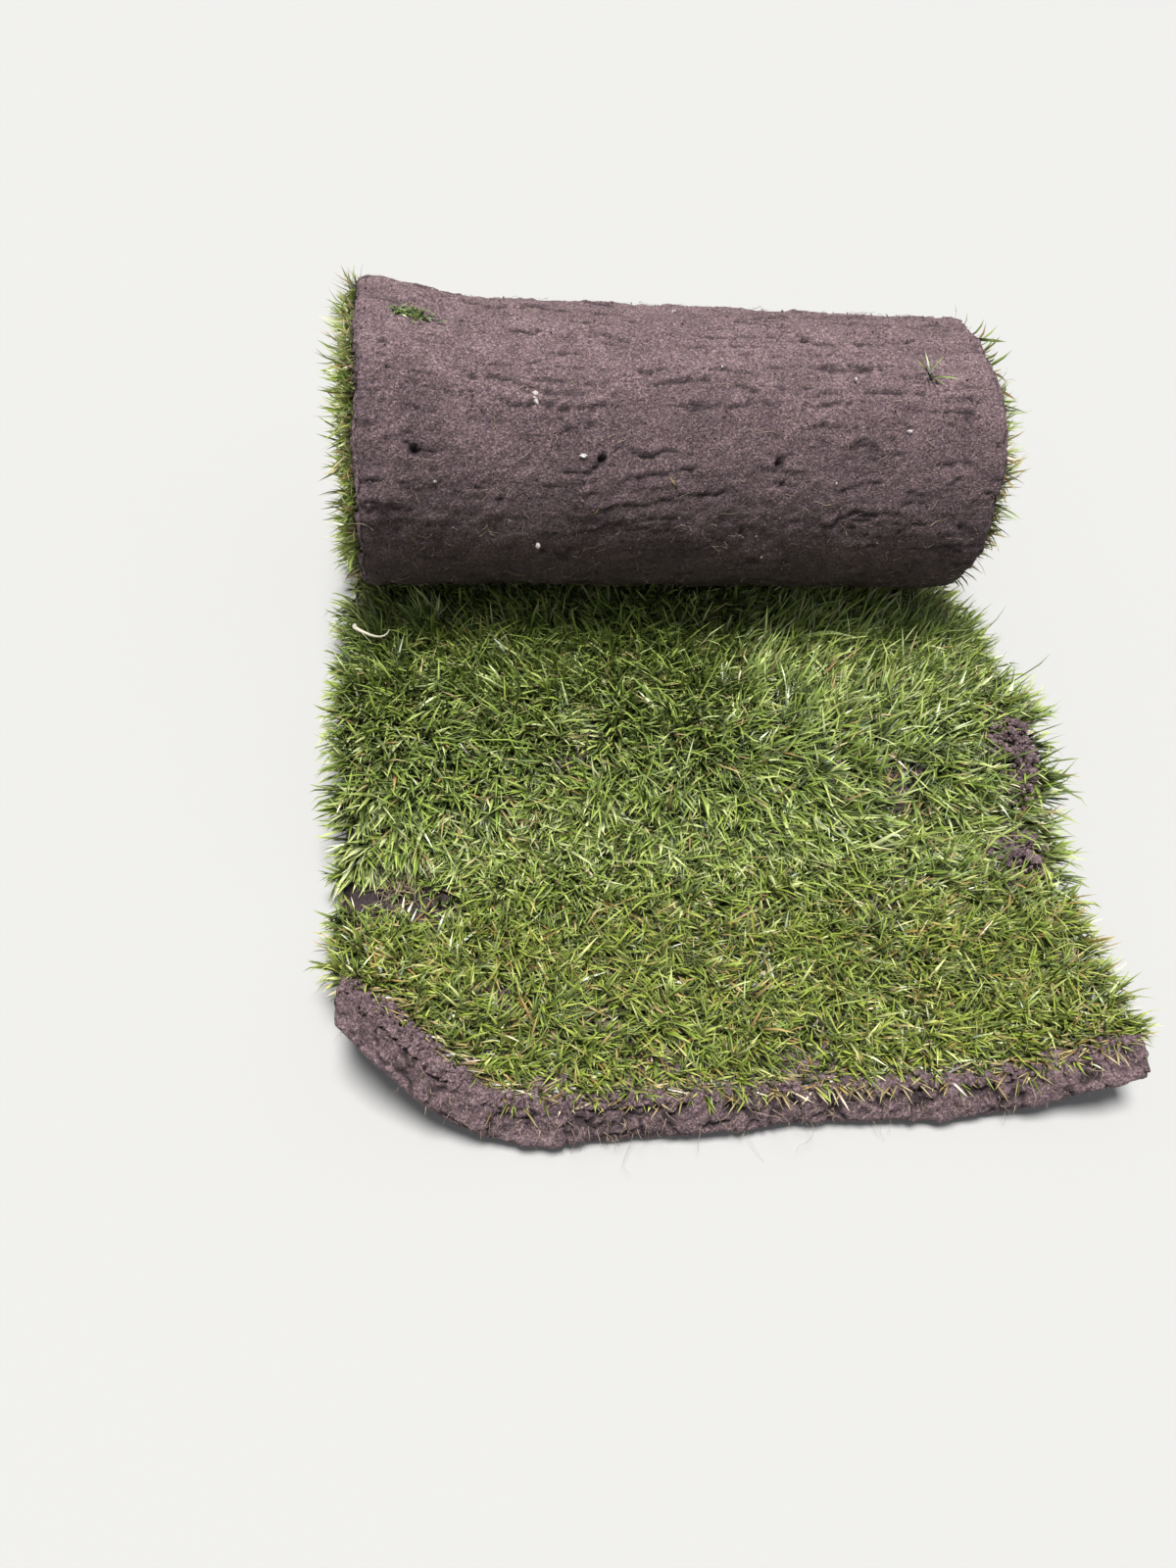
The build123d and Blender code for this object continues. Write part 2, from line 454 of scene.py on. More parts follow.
# Colours of the soil's pale grains and dark pores, and how many granules and grains lie along a metre
PALE_GRAIN, DARK_PORE = (0.46, 0.370, 0.365, 1), (0.012, 0.009, 0.009, 1)
GRANULES, GRAINS = 480, 560


def soil_grain_group():
    """Peaty soil: crumbs, dark pores, pale grains and slow patches, as a colour and a height, with painted
    shade darkening the colour where the shade mask is high.
    """
    found = bpy.data.node_groups.get("Soil grain")
    if found:
        return found
    color, value = "NodeSocketColor", "NodeSocketFloat"
    inputs = [("Position", "NodeSocketVector", None), ("Dark", color, None), ("Soil", color, None)]
    inputs += [("Dry", color, None), ("Dryness", value, 0.5), ("Painted shade", value, 0.0)]
    sheet, start, end = group_tree("Soil grain", inputs, [("Color", color), ("Height", value)])
    place = start.outputs["Position"]
    lumps = sheet.noise(place, 30, 2, 0.5)
    crumbs = sheet.noise(place, 420, 5, 0.75)
    fine = sheet.noise(place, 900, 3, 0.7)
    tone = sheet.math("ADD", sheet.math("MULTIPLY", lumps, 0.12), sheet.math("MULTIPLY", crumbs, 0.52))
    tone = sheet.math("ADD", tone, sheet.math("MULTIPLY", fine, 0.36))
    # Painted shade: the mask lowers the tone in hollows, cracks and low parts.
    tone = sheet.math("SUBTRACT", tone, sheet.math("MULTIPLY", start.outputs["Painted shade"], 0.08))
    granules = sheet.add("ShaderNodeTexVoronoi", feature="F1")
    granules.inputs["Scale"].default_value = GRANULES
    sheet.link(place, granules.inputs["Vector"])
    own = sheet.add("ShaderNodeSeparateColor")
    sheet.link(granules.outputs["Color"], own.inputs[0])
    tone = sheet.math("ADD", tone, sheet.ramp(own.outputs[0], 0.0, 1.0, -0.040, 0.048))
    gap = sheet.ramp(granules.outputs["Distance"], 0.50, 0.80, 0.0, 0.42)
    base = sheet.blend(sheet.ramp(tone, 0.32, 0.52), start.outputs["Dark"], start.outputs["Soil"])
    dry = sheet.math("MULTIPLY", sheet.ramp(tone, 0.50, 0.66), start.outputs["Dryness"], True)
    base = sheet.blend(dry, base, start.outputs["Dry"])
    grains = sheet.add("ShaderNodeTexVoronoi", feature="F1")
    grains.inputs["Scale"].default_value = GRAINS
    sheet.link(place, grains.inputs["Vector"])
    pick = sheet.add("ShaderNodeSeparateColor")
    sheet.link(grains.outputs["Color"], pick.inputs[0])
    near = sheet.ramp(grains.outputs["Distance"], 0.22, 0.42, 1.0, 0.0)
    pale = sheet.math("MULTIPLY", sheet.ramp(pick.outputs[0], 0.72, 0.96, 0.0, 0.85), near)
    pore = sheet.math("MULTIPLY", sheet.ramp(pick.outputs[1], 0.84, 0.97, 0.0, 0.7), near)
    mottled = sheet.blend(pale, base, PALE_GRAIN)
    mottled = sheet.blend(pore, mottled, DARK_PORE)
    mottled = sheet.blend(gap, mottled, start.outputs["Dark"])
    # Painted shade: the mask blends the colour towards the dark soil.
    deep = sheet.math("MULTIPLY", start.outputs["Painted shade"], 0.80)
    final = sheet.blend(deep, mottled, start.outputs["Dark"])
    sheet.link(final, end.inputs["Color"])
    height = sheet.math("ADD", sheet.math("MULTIPLY", crumbs, 0.8), sheet.math("MULTIPLY", fine, 0.35))
    height = sheet.math("SUBTRACT", height, sheet.math("MULTIPLY", pore, 0.5))
    height = sheet.math("ADD", height, sheet.math("MULTIPLY", pale, 0.2))
    height = sheet.math("SUBTRACT", height, sheet.math("MULTIPLY", gap, 0.7))
    sheet.link(height, end.inputs["Height"])
    return sheet.tree


def soil_material(name, dryness):
    """Root-bound soil, matte, with its own amount of dry crumbs. The pieces carry a mask of their hollows,
    cracks and low parts, which darkens the colour as painted shade.
    """
    look = bpy.context.scene.turf_soil
    material, sheet, shader = new_material(name)
    place = sheet.add("ShaderNodeTexCoord").outputs["Object"]
    grain = sheet.add("ShaderNodeGroup")
    grain.node_tree = soil_grain_group()
    sheet.link(place, grain.inputs["Position"])
    hollow = sheet.add("ShaderNodeAttribute", attribute_name="hollow")
    sheet.link(hollow.outputs["Fac"], grain.inputs["Painted shade"])
    grain.inputs["Dark"].default_value = opaque(look.dark)
    grain.inputs["Soil"].default_value = opaque(look.mid)
    grain.inputs["Dry"].default_value = opaque(look.dry)
    grain.inputs["Dryness"].default_value = dryness
    sheet.link(grain.outputs["Color"], shader.inputs["Base Color"])
    add_bump(sheet, shader, grain.outputs["Height"], 1.0, 0.0024)
    shader.inputs["Roughness"].default_value = 0.85
    shader.inputs["Specular IOR Level"].default_value = 0.3
    return material


# Blade tones: each is a column of the blade map, from straw and brown to deep, yellow and pale green; the
# palest green is whitened as a painted sheen highlight, and the root colour is painted shade.
TONES = 32
DEAD_TONE, GREEN_TONE = 0.13, 0.17
# Colour at a blade's root: painted shade deep in the sward.
PAINTED_ROOT_SHADE = (0.012, 0.016, 0.004, 1)
TIP_COLOR = (0.470, 0.400, 0.180, 1)
RIB_COLOR = (0.560, 0.620, 0.270, 1)
VEIN_SHADE = (0.45, 0.55, 0.40, 1)
WARM_SHADE = (1.10, 0.98, 0.50, 1)


def blade_material(name, warmth=0.0):
    """Grass blades. The map's u picks a tone and a place across the blade, and v runs from root to tip."""
    material, sheet, shader = new_material(name)
    uv = sheet.add("ShaderNodeUVMap", uv_map="OFBake")
    parts = sheet.add("ShaderNodeSeparateXYZ")
    sheet.link(uv.outputs[0], parts.inputs[0])
    column = sheet.math("MULTIPLY", parts.outputs[0], float(TONES))
    tone = sheet.math("DIVIDE", sheet.math("FLOOR", column), float(TONES))
    across = sheet.math("FRACT", column)
    ramp = sheet.add("ShaderNodeValToRGB")
    sheet.link(tone, ramp.inputs[0])
    ramp.color_ramp.interpolation = "LINEAR"
    stops = [
        (0.00, (0.360, 0.190, 0.070)),
        (0.06, (0.500, 0.390, 0.200)),
        (0.11, (0.300, 0.220, 0.070)),
        (0.16, (0.030, 0.062, 0.014)),
        (0.34, (0.085, 0.150, 0.020)),
        (0.55, (0.195, 0.300, 0.030)),
        (0.75, (0.340, 0.440, 0.060)),
        # The two palest stops are whitened as a painted sheen highlight, over the blades' own pale green.
        (0.90, (0.520, 0.600, 0.190)),
        (1.00, (0.720, 0.760, 0.420)),
    ]
    elements = ramp.color_ramp.elements
    while len(elements) < len(stops):
        elements.new(0.5)
    for element, (place, color) in zip(elements, stops):
        element.position = place
        element.color = opaque(color)
    # Each blade darkens to near black towards its root: painted shade deep in the sward.
    root = sheet.ramp(parts.outputs[1], 0.22, 0.78)
    root_shaded = sheet.blend(root, PAINTED_ROOT_SHADE, ramp.outputs[0])
    tip = sheet.ramp(parts.outputs[1], 0.88, 1.0, 0.0, 0.6)
    tipped = sheet.blend(tip, root_shaded, TIP_COLOR)
    centre = sheet.math("ABSOLUTE", sheet.math("SUBTRACT", across, 0.5))
    rib = sheet.math("MULTIPLY", sheet.ramp(centre, 0.04, 0.16, 0.5, 0.0), root)
    ribbed = sheet.blend(rib, tipped, RIB_COLOR)
    veins = sheet.math("SINE", sheet.math("MULTIPLY", across, 44.0))
    veined = sheet.add("ShaderNodeMix", data_type="RGBA", blend_type="MULTIPLY")
    sheet.link(sheet.ramp(veins, 0.1, 1.0, 0.0, 0.35), veined.inputs[0])
    sheet.link(ribbed, veined.inputs[6])
    veined.inputs[7].default_value = VEIN_SHADE
    warmed = sheet.add("ShaderNodeMix", data_type="RGBA", blend_type="MULTIPLY")
    warmed.inputs[0].default_value = warmth
    sheet.link(veined.outputs[2], warmed.inputs[6])
    warmed.inputs[7].default_value = WARM_SHADE
    sheet.link(warmed.outputs[2], shader.inputs["Base Color"])
    sheet.link(sheet.ramp(veins, -1.0, 1.0, 0.28, 0.42), shader.inputs["Roughness"])
    shader.inputs["Specular IOR Level"].default_value = 0.6
    return material


def bits_material(name, low, high, roughness, scale):
    """Small loose things: one varied colour with fine grain."""
    material, sheet, shader = new_material(name)
    place = sheet.add("ShaderNodeTexCoord").outputs["Object"]
    tone = sheet.noise(place, scale, 4, 0.65)
    color = sheet.blend(sheet.ramp(tone, 0.38, 0.62), opaque(low), opaque(high))
    sheet.link(color, shader.inputs["Base Color"])
    add_bump(sheet, shader, tone, 0.5, 0.0005)
    shader.inputs["Roughness"].default_value = roughness
    return material


# Soil

def soil_relief(points, seed):
    """How far the soil surface stands out: lumps and crumbs."""
    look = bpy.context.scene.turf_soil
    lumps = layered_noise(points, 0.030, seed, 3)
    crumbs = layered_noise(points, 0.0085, seed + 5, 3, 0.75)
    sharp = np.sign(crumbs) * np.abs(crumbs) ** 0.75
    return look.clod_relief * lumps + look.crumb_relief * 1.6 * sharp


def wrapped_rows(shape, line, distance, on_roll, columns, wall_steps, back_reach, seed):
    """A strip of soil wrapped over its outer face and down both side walls.

    Returns base points, outward normals and a mask of the outer face, each (rows, around).
    """
    y, z, ny, nz = line
    rows = y.shape[0]
    xs = np.linspace(-shape.half, shape.half, columns)
    depth = shape.s.soil_depth
    left, right = shape.edges(distance, on_roll, seed)
    share = (xs + shape.half) / (2 * shape.half)
    face_x = left[:, None] + (right - left)[:, None] * share[None, :]
    lifts = np.linspace(0, depth, wall_steps + 1)[1:]
    base, normal, mask = [], [], []
    for side, column, edge in ((-1, 0, left), (1, columns - 1, right)):
        block, block_n = [], []
        cy, cz, cny, cnz = (a[:, column] for a in line)
        for lift in lifts:
            block.append(np.stack([edge, cy + lift * cny, cz + lift * cnz], -1))
            block_n.append(np.stack([side + 0 * edge, 0 * edge, 0 * edge], -1))
        for reach in back_reach:
            block.append(np.stack([edge - side * reach, cy + depth * cny, cz + depth * cnz], -1))
            block_n.append(np.stack([0 * edge, cny, cnz], -1))
        base.append(np.stack(block, 1))
        normal.append(np.stack(block_n, 1))
    face = np.stack([face_x, y, z], -1)
    face_n = np.stack([0 * y, -ny, -nz], -1)
    face_n[:, 0] += (-1, 0, 0)
    face_n[:, -1] += (1, 0, 0)
    face_n /= np.linalg.norm(face_n, axis=-1, keepdims=True)
    points = np.concatenate([base[0][:, ::-1], face, base[1]], 1)
    normals = np.concatenate([normal[0][:, ::-1], face_n, normal[1]], 1)
    wall = np.zeros((rows, base[0].shape[1]))
    mask = np.concatenate([wall, np.ones((rows, columns)), wall], 1)
    return points, normals, mask


def crack_relief(x, s, seed):
    """Broken ridges across the wound face, and how deep in the crack below a ridge each point lies.

    Each ridge swells gently down the face and ends in a thin crack along its lower side.
    """
    look = bpy.context.scene.turf_soil
    height, crack = np.zeros_like(x), np.zeros_like(x)
    for number, (period, strength) in enumerate(((0.0230, 1.0), (0.0130, 0.6))):
        slow = layered_noise(np.stack([x / 2.6, s, 0 * x + 0.3 * number], -1), 0.050, seed + 9 * number, 2)
        quick = layered_noise(np.stack([x / 1.7, s, 0 * x + 0.7], -1), 0.014, seed + 4 + 9 * number, 3, 0.6)
        phase = s / period + 1.1 * slow + 0.50 * quick
        rise = phase - np.floor(phase)
        swell = rise**1.6 * smooth_step((1 - rise) / 0.10)
        spread = np.stack([x / 1.5, s, 0 * x + 3.0 + number], -1)
        where = smooth_step((layered_noise(spread, 0.026, seed + 3 + number, 3) - 0.02) / 0.22)
        line = np.exp(-((np.minimum(rise, 1 - rise) / 0.048) ** 2)) * where
        height += strength * (swell * (0.25 + 0.75 * where) - 0.8 * line)
        crack = np.maximum(crack, line * strength)
    return look.crack_depth * height, crack


def pits_relief(x, s, places, radius, depth):
    """Round holes at places (x, s) on the face."""
    total = np.zeros_like(x)
    for (px, ps), r, d in zip(places, radius, depth):
        reach = np.hypot(x - px, s - ps) / r
        total -= d * np.exp(-(reach**4))
    return total


def mark_painted_shade(piece, values):
    """Keeps how much painted shade each vertex takes, from 0 to 1, for the soil's colour: deep in cracks,
    pits and hollows, and on shaded parts.
    """
    attribute = piece.data.attributes.new("hollow", "FLOAT", "POINT")
    attribute.data.foreach_set("value", np.clip(values, 0, 1).astype(np.float32))


# Holes in the wound face: their places across, their angle forward of the top, and their size
HOLE_PLACES, HOLE_ANGLE = (-0.247, -0.089, 0.067), math.radians(52)
HOLE_RADIUS, HOLE_DEPTH = 0.0036, 0.009
TOP_HOLE = (0.105, 0.489)


class TURF_OT_roll_soil(bpy.types.Operator):
    """Builds the soil of the wound turns, with cracks, holes and crumbling ends"""

    bl_idname = "turf.roll_soil"
    bl_label = "Roll soil"

    def execute(self, context):
        shape = StripShape(context.scene.turf_strip)
        look = context.scene.turf_soil
        rng = np.random.default_rng(21)
        material = soil_material("Soil of the roll", 1.0)
        step = look.grid_step * 1.09
        columns = int(2 * shape.half / step)
        xs = np.linspace(-shape.half, shape.half, columns)
        line = shape.roll_line(xs, step, 0, 1)
        s = along(line)
        points, normals, mask = wrapped_rows(shape, line, s, s, columns, 9, (0.006, 0.02), 3)
        flat, out = points.reshape(-1, 3), normals.reshape(-1, 3)
        face = mask.reshape(-1)
        rows, around = points.shape[:2]
        s_all = np.repeat(s, around)
        relief = soil_relief(flat, 31)
        ridges, lines = crack_relief(flat[:, 0], s_all, 44)
        cracks, lines = face * ridges, face * lines
        count = 60
        places = np.stack([rng.uniform(-0.29, 0.27, count), rng.uniform(0.25, s[-1] - 0.06, count)], 1)
        sizes = rng.uniform(0.0014, 0.0026, count)
        pits = face * pits_relief(flat[:, 0], s_all, places, sizes, sizes * 1.1)
        hole_s = shape.s.roll_flat * 2 + pi * float(shape.turn_radius(np.zeros(1), 0)[0])
        hole_s += HOLE_ANGLE * float(shape.turn_radius(np.zeros(1), 1)[0])
        holes = [(x, hole_s) for x in HOLE_PLACES] + [TOP_HOLE]
        radii, hollows = [HOLE_RADIUS] * len(holes), [HOLE_DEPTH] * len(holes)
        pits += face * pits_relief(flat[:, 0], s_all, holes, radii, hollows)
        ends = (1 - face) * 0.0040 * layered_noise(flat, 0.014, 63, 3)
        left, right = shape.edges(s_all, s_all, 3)
        from_edge = np.maximum(np.minimum(flat[:, 0] - left, right - flat[:, 0]), 0)
        worn = 0.0045 + 0.0045 * layered_noise(flat, 0.016, 66, 3)
        depths = np.linspace(0, shape.s.soil_depth, 10)[1:]
        wall = np.concatenate([depths, [shape.s.soil_depth] * 2])
        down = np.tile(np.concatenate([wall[::-1], np.zeros(columns), wall]), rows)
        ends -= np.maximum(worn, 0) * np.exp(-(((face * from_edge + down) / 0.0050) ** 2))
        total = np.clip(relief + cracks - 0.0008 * face + pits + ends, -0.010, 0.0045)
        moved = flat + out * total[:, None]
        moved[:, 2] = np.maximum(moved[:, 2], 0.0)
        piece = new_piece("roll_outer_turn", moved, grid_faces(rows, around)[:, ::-1], material)
        # Painted shade: the wound face darkens towards the floor, and in its cracks, pits and low lumps.
        low_face_shade = 0.26 * smooth_step((s_all - 0.51) / 0.10) + 0.38 * smooth_step((s_all - 0.60) / 0.15)
        low_face_shade *= face
        mark_painted_shade(piece, low_face_shade + 1.25 * lines - (pits + 0.2 * relief) / 0.0026)
        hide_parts("soil_mat")
        inner_columns = 60
        xs = np.linspace(-shape.half, shape.half, inner_columns)
        line = shape.roll_line(xs, step * 1.4, 2, shape.turns - 1)
        s = along(line)
        wrapped = wrapped_rows(shape, line, s + 2.0, s + 1.0, inner_columns, 9, (0.006, 0.02), 3)
        points, normals, mask = wrapped
        flat, out = points.reshape(-1, 3), normals.reshape(-1, 3)
        relief = soil_relief(flat, 31) + (1 - mask.reshape(-1)) * 0.0022 * layered_noise(flat, 0.012, 64, 3)
        rows, around = points.shape[:2]
        moved = flat + out * np.clip(relief, -0.005, 0.0012)[:, None]
        piece = new_piece("roll_inner_turn", moved, grid_faces(rows, around)[:, ::-1], material)
        # Painted shade in the low parts of the inner turns.
        mark_painted_shade(piece, -0.35 * relief / 0.0022)
        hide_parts("soil_mat")
        self.inner_face(shape, material)
        return {"FINISHED"}

    def inner_face(self, shape, material):
        """The soil under the wound grass, and the strip's cut end inside the roll."""
        surface = StripSurface(shape, True)
        places = np.append(np.arange(0.0, surface.s[-1], 0.007), surface.s[-1])
        rows = [(place, shape.s.soil_depth + 0.0003) for place in places]
        rows += [(surface.s[-1], lift) for lift in (0.018, 0.012, 0.006, 0.0)]
        place, lift = np.array(rows).T
        share = np.linspace(0.008, 0.992, 60)
        points, inward, _ = surface.at(share[None, :] + 0 * place[:, None], place[:, None], lift[:, None])
        flat = points.reshape(-1, 3)
        uneven = 0.0010 * layered_noise(flat, 0.012, 31, 3)
        moved = flat + inward.reshape(-1, 3) * uneven[:, None]
        piece = new_piece("roll_inner_face", moved, grid_faces(len(rows), 60), material)
        # Painted shade: the soil under the wound grass is darkened by half.
        mark_painted_shade(piece, 0.5 + 0 * uneven)
        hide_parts("soil_mat")


class TURF_OT_tail_soil(bpy.types.Operator):
    """Builds the soil of the open tail, with its torn front face"""

    bl_idname = "turf.tail_soil"
    bl_label = "Tail soil"

    def execute(self, context):
        shape = StripShape(context.scene.turf_strip)
        material = soil_material("Soil of the tail", 0.7)
        columns = 112
        xs = np.linspace(-shape.half, shape.half, columns)
        line = shape.tail_line(xs, 0.0045)
        s = along(line) - along(line)[-1]
        points, normals, _ = wrapped_rows(shape, line, s, 0 * s, columns, 8, (), 3)
        y, z, ny, nz = line
        depth = shape.s.soil_depth
        left, right = shape.edges(s, 0 * s, 3)
        share = (xs + shape.half) / (2 * shape.half)
        top_x = left[:, None] + (right - left)[:, None] * share[None, :]
        top = np.stack([top_x, y + depth * ny, z + depth * nz], -1)[:, ::-1][:, 1:-1]
        top_n = np.stack([0 * y, ny, nz], -1)[:, ::-1][:, 1:-1]
        points = np.concatenate([points, top], 1)
        normals = np.concatenate([normals, top_n], 1)
        rows, around = points.shape[:2]
        flat, out = points.reshape(-1, 3), normals.reshape(-1, 3)
        relief = soil_relief(flat, 31)
        wall = np.abs(out[:, 0]) > 0.9
        relief += wall * 0.0024 * layered_noise(flat, 0.012, 63, 3)
        low = flat[:, 2] < 0.004
        relief = np.where(low & (out[:, 2] < -0.5), 0, relief)
        moved = flat + out * np.clip(relief, -0.006, 0.003)[:, None]
        moved[:, 2] = np.maximum(moved[:, 2], 0.0)
        piece = new_piece("tail_soil", moved, grid_faces(rows, around, True)[:, ::-1], material)
        # Painted shade: the soil darkens in its low parts and in the hollow at the crease.
        hollow = spot(flat[:, 0], np.repeat(s, around), HOLLOW[0], (HOLLOW[1][0] * 1.2, HOLLOW[1][1] * 1.2))
        mark_painted_shade(piece, -relief / 0.004 + 1.5 * hollow)
        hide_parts("soil_mat")
        self.front_face(shape)
        return {"FINISHED"}

    def front_face(self, shape):
        """The torn front: a crumbling upper part over a smoother rim that slopes forward."""
        material = soil_material("Soil of the front", 0.9)
        step = 0.0019
        columns = int(2 * shape.half / step)
        xs = np.linspace(-shape.half, shape.half, columns)
        y, z, ny, nz = (a[0] for a in shape.tail_line(xs, 0.01))
        ty, tz = -nz, ny
        depth = shape.s.soil_depth
        reach = shape.s.bevel_reach + shape.s.left_corner_bank * shape.corner(xs, -1)
        left, right = shape.edges(np.array([-shape.s.tail_length]), np.zeros(1), 3)
        real_x = left[0] + (right[0] - left[0]) * (xs + shape.half) / (2 * shape.half)
        profile = [(-0.012, 0.0), (0.000, 0.0), (0.70, 0.0), (0.86, 0.06), (0.97, 0.20), (1.00, 0.33)]
        profile += [(0.93, 0.45), (0.80, 0.56), (0.64, 0.66), (0.48, 0.76), (0.34, 0.86), (0.20, 0.95)]
        profile += [(0.05, 1.02)]
        profile += [(-0.30, 1.05), (-1.2, 1.06), (-2.4, 1.02)]
        dense = []
        for (r0, l0), (r1, l1) in zip(profile[:-1], profile[1:]):
            run = math.hypot((r1 - r0) * shape.s.bevel_reach, (l1 - l0) * depth)
            count = max(1, round(run / 0.0018))
            dense += [(mix(r0, r1, k / count), mix(l0, l1, k / count)) for k in range(count)]
        dense.append(profile[-1])
        rows, normals = [], []
        for number, (r, lift) in enumerate(dense):
            before, after = dense[max(number - 1, 0)], dense[min(number + 1, len(dense) - 1)]
            dr, dl = (after[0] - before[0]) * shape.s.bevel_reach, (after[1] - before[1]) * depth
            size = math.hypot(dr, dl) or 1.0
            out_t, out_n = dl / size, -dr / size
            py, pz = y + r * reach * ty + lift * depth * ny, z + r * reach * tz + lift * depth * nz
            rows.append(np.stack([real_x, py, pz], -1))
            normals.append(np.stack([0 * xs, out_t * ty + out_n * ny, out_t * tz + out_n * nz], -1))
        points, normal = np.stack(rows), np.stack(normals)
        flat, out = points.reshape(-1, 3), normal.reshape(-1, 3)
        lifts = np.repeat([d[1] for d in dense], columns)
        upper = smooth_step((lifts - 0.30) / 0.3)
        lumps = layered_noise(flat, 0.020, 71, 3, 0.65)
        crumbs = layered_noise(flat, 0.007, 77, 3, 0.75)
        sharp = np.sign(crumbs) * np.abs(crumbs) ** 0.7
        relief = 0.0022 * lumps * (1 - upper) + upper * (0.0055 * lumps + 0.0042 * sharp) + 0.0010 * crumbs
        cleft = np.exp(-((layered_noise(flat, 0.026, 83, 3, 0.6) / 0.05) ** 2))
        relief -= 0.0045 * cleft * smooth_step((lifts - 0.1) / 0.2)
        across_noise = layered_noise(np.stack([flat[:, 0], 0 * lifts, 0 * lifts], -1), 0.05, 80, 3)
        relief += 0.006 * across_noise * smooth_step(lifts / 0.2) * (1 - 0.5 * upper)
        relief *= smooth_step((lifts + 0.02) / 0.12) * (1 + 0.4 * shape.corner(flat[:, 0], -1))
        moved = flat + out * np.clip(relief, -0.011, 0.0085)[:, None]
        moved[:, 2] = np.maximum(moved[:, 2], 0.0)
        moved = moved.reshape(points.shape)
        core_y, core_z = y - 0.4 * reach * ty + 0.5 * depth * ny, z - 0.4 * reach * tz + 0.5 * depth * nz
        core = np.stack([real_x, core_y, core_z], -1)
        ends = [mix(core[None, k], moved[:, k], share) for k in (0, -1) for share in (0.05, 0.4, 0.75)]
        moved = np.concatenate([np.stack(ends[:3], 1), moved, np.stack(ends[3:][::-1], 1)], 1)
        # Painted shade in the face's low parts and clefts.
        hollows = (-(relief - 0.001) / 0.008 + 0.5 * cleft * upper).reshape(points.shape[:2])
        faces = grid_faces(len(rows), columns + 6)
        piece = new_piece("front_torn_edge", moved.reshape(-1, 3), faces, material)
        mark_painted_shade(piece, np.pad(hollows, ((0, 0), (3, 3)), "edge").ravel())
        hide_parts("soil_mat")


# Places on the strip

def unit(vectors):
    return vectors / np.maximum(np.linalg.norm(vectors, axis=-1, keepdims=True), 1e-9)


class StripSurface:
    """Places on the strip, from a share across it and a distance along it.

    On the tail the distance is 0 at the roll's foot and less ahead of it; on the roll it grows from there.
    """

    def __init__(self, shape, wound):
        self.shape, self.wound = shape, wound
        self.columns = 121
        xs = np.linspace(-shape.half, shape.half, self.columns)
        self.line = shape.roll_line(xs, 0.004, 0, shape.turns - 1) if wound else shape.tail_line(xs, 0.004)
        self.s = along(self.line) - (0 if wound else along(self.line)[-1])

    def edges(self, place):
        return self.shape.edges(place, place if self.wound else 0 * place, 3)

    def share(self, x, place):
        """Share across of an x."""
        left, right = self.edges(place)
        return (x - left) / (right - left)

    def at(self, across, place, lift):
        """Points lifted off the soil's outer face, and the directions into the strip and ahead along it."""
        across, place = np.broadcast_arrays(np.asarray(across, float), np.asarray(place, float))
        shape = across.shape
        across, place = across.ravel(), place.ravel()
        lift = np.broadcast_to(lift, shape).ravel()
        u = np.clip(across, 0, 1) * (self.columns - 1.001)
        w = np.clip(np.interp(place, self.s, np.arange(len(self.s))), 0, len(self.s) - 1.001)
        i, j = u.astype(int), w.astype(int)
        fu, fw = u - i, w - j

        def between(a, row):
            return a[row, i] * (1 - fu) + a[row, i + 1] * fu

        y, z, ny, nz = (between(a, j) * (1 - fw) + between(a, j + 1) * fw for a in self.line)
        left, right = self.edges(place)
        x = left + (right - left) * across
        inward = unit(np.stack([0 * x, ny, nz], -1))
        ahead = np.stack([0 * x, -inward[:, 2], inward[:, 1]], -1)
        point = np.stack([x, y, z], -1) + lift[:, None] * inward
        return point.reshape(shape + (3,)), inward.reshape(shape + (3,)), ahead.reshape(shape + (3,))


def eased(values, low, high, reach):
    """Values brought smoothly inside a range."""
    over = np.maximum(values - (high - reach), 0)
    under = np.maximum(low + reach - values, 0)
    return values - over + reach * np.tanh(over / reach) + under - reach * np.tanh(under / reach)


# How far blades and roots may stand out past the strip's box at its sides, its ends and its top
SIDE_REACH, END_REACH, TOP_REACH = 0.026, 0.030, 0.016


def settled(points, shape, beside_roll=False):
    """Points of blades and roots laid back where they would enter the roll or the floor, or reach far out."""
    low, high = CAD_BOX
    x = eased(points[..., 0], low.x - SIDE_REACH, high.x + SIDE_REACH, 0.016)
    y = eased(points[..., 1], low.y - END_REACH, high.y + END_REACH, 0.016)
    z = np.maximum(eased(points[..., 2], low.z - 1, high.z + TOP_REACH, 0.010), 0.0008)
    if beside_roll:
        flare = shape.flare(x) / 2
        cy, cz = shape.roll_y, shape.first_radius + shape.pitch / 2 + flare
        radius = shape.first_radius - shape.pitch / 2 + flare + 0.0015
        dy, dz = y - cy, z - cz
        away = np.maximum(np.hypot(dy, dz), 1e-6)
        inside = (away < radius) & (np.abs(x + 0.008) < shape.half - 0.018) & (dy < 0)
        push = np.where(inside, radius / away, 1.0)
        y, z = cy + dy * push, cz + dz * push
    return np.stack([x, y, z], -1)


# Grass

RIGHT = np.array([1.0, 0.0, 0.0])


def headed(ahead, angle):
    """Directions at an angle from ahead towards the right."""
    return ahead * np.cos(angle)[:, None] + RIGHT * np.sin(angle)[:, None]


def leaning(up, heading, lean):
    """Directions that lean from up towards a heading."""
    return up * np.cos(lean)[:, None] + heading * np.sin(lean)[:, None]


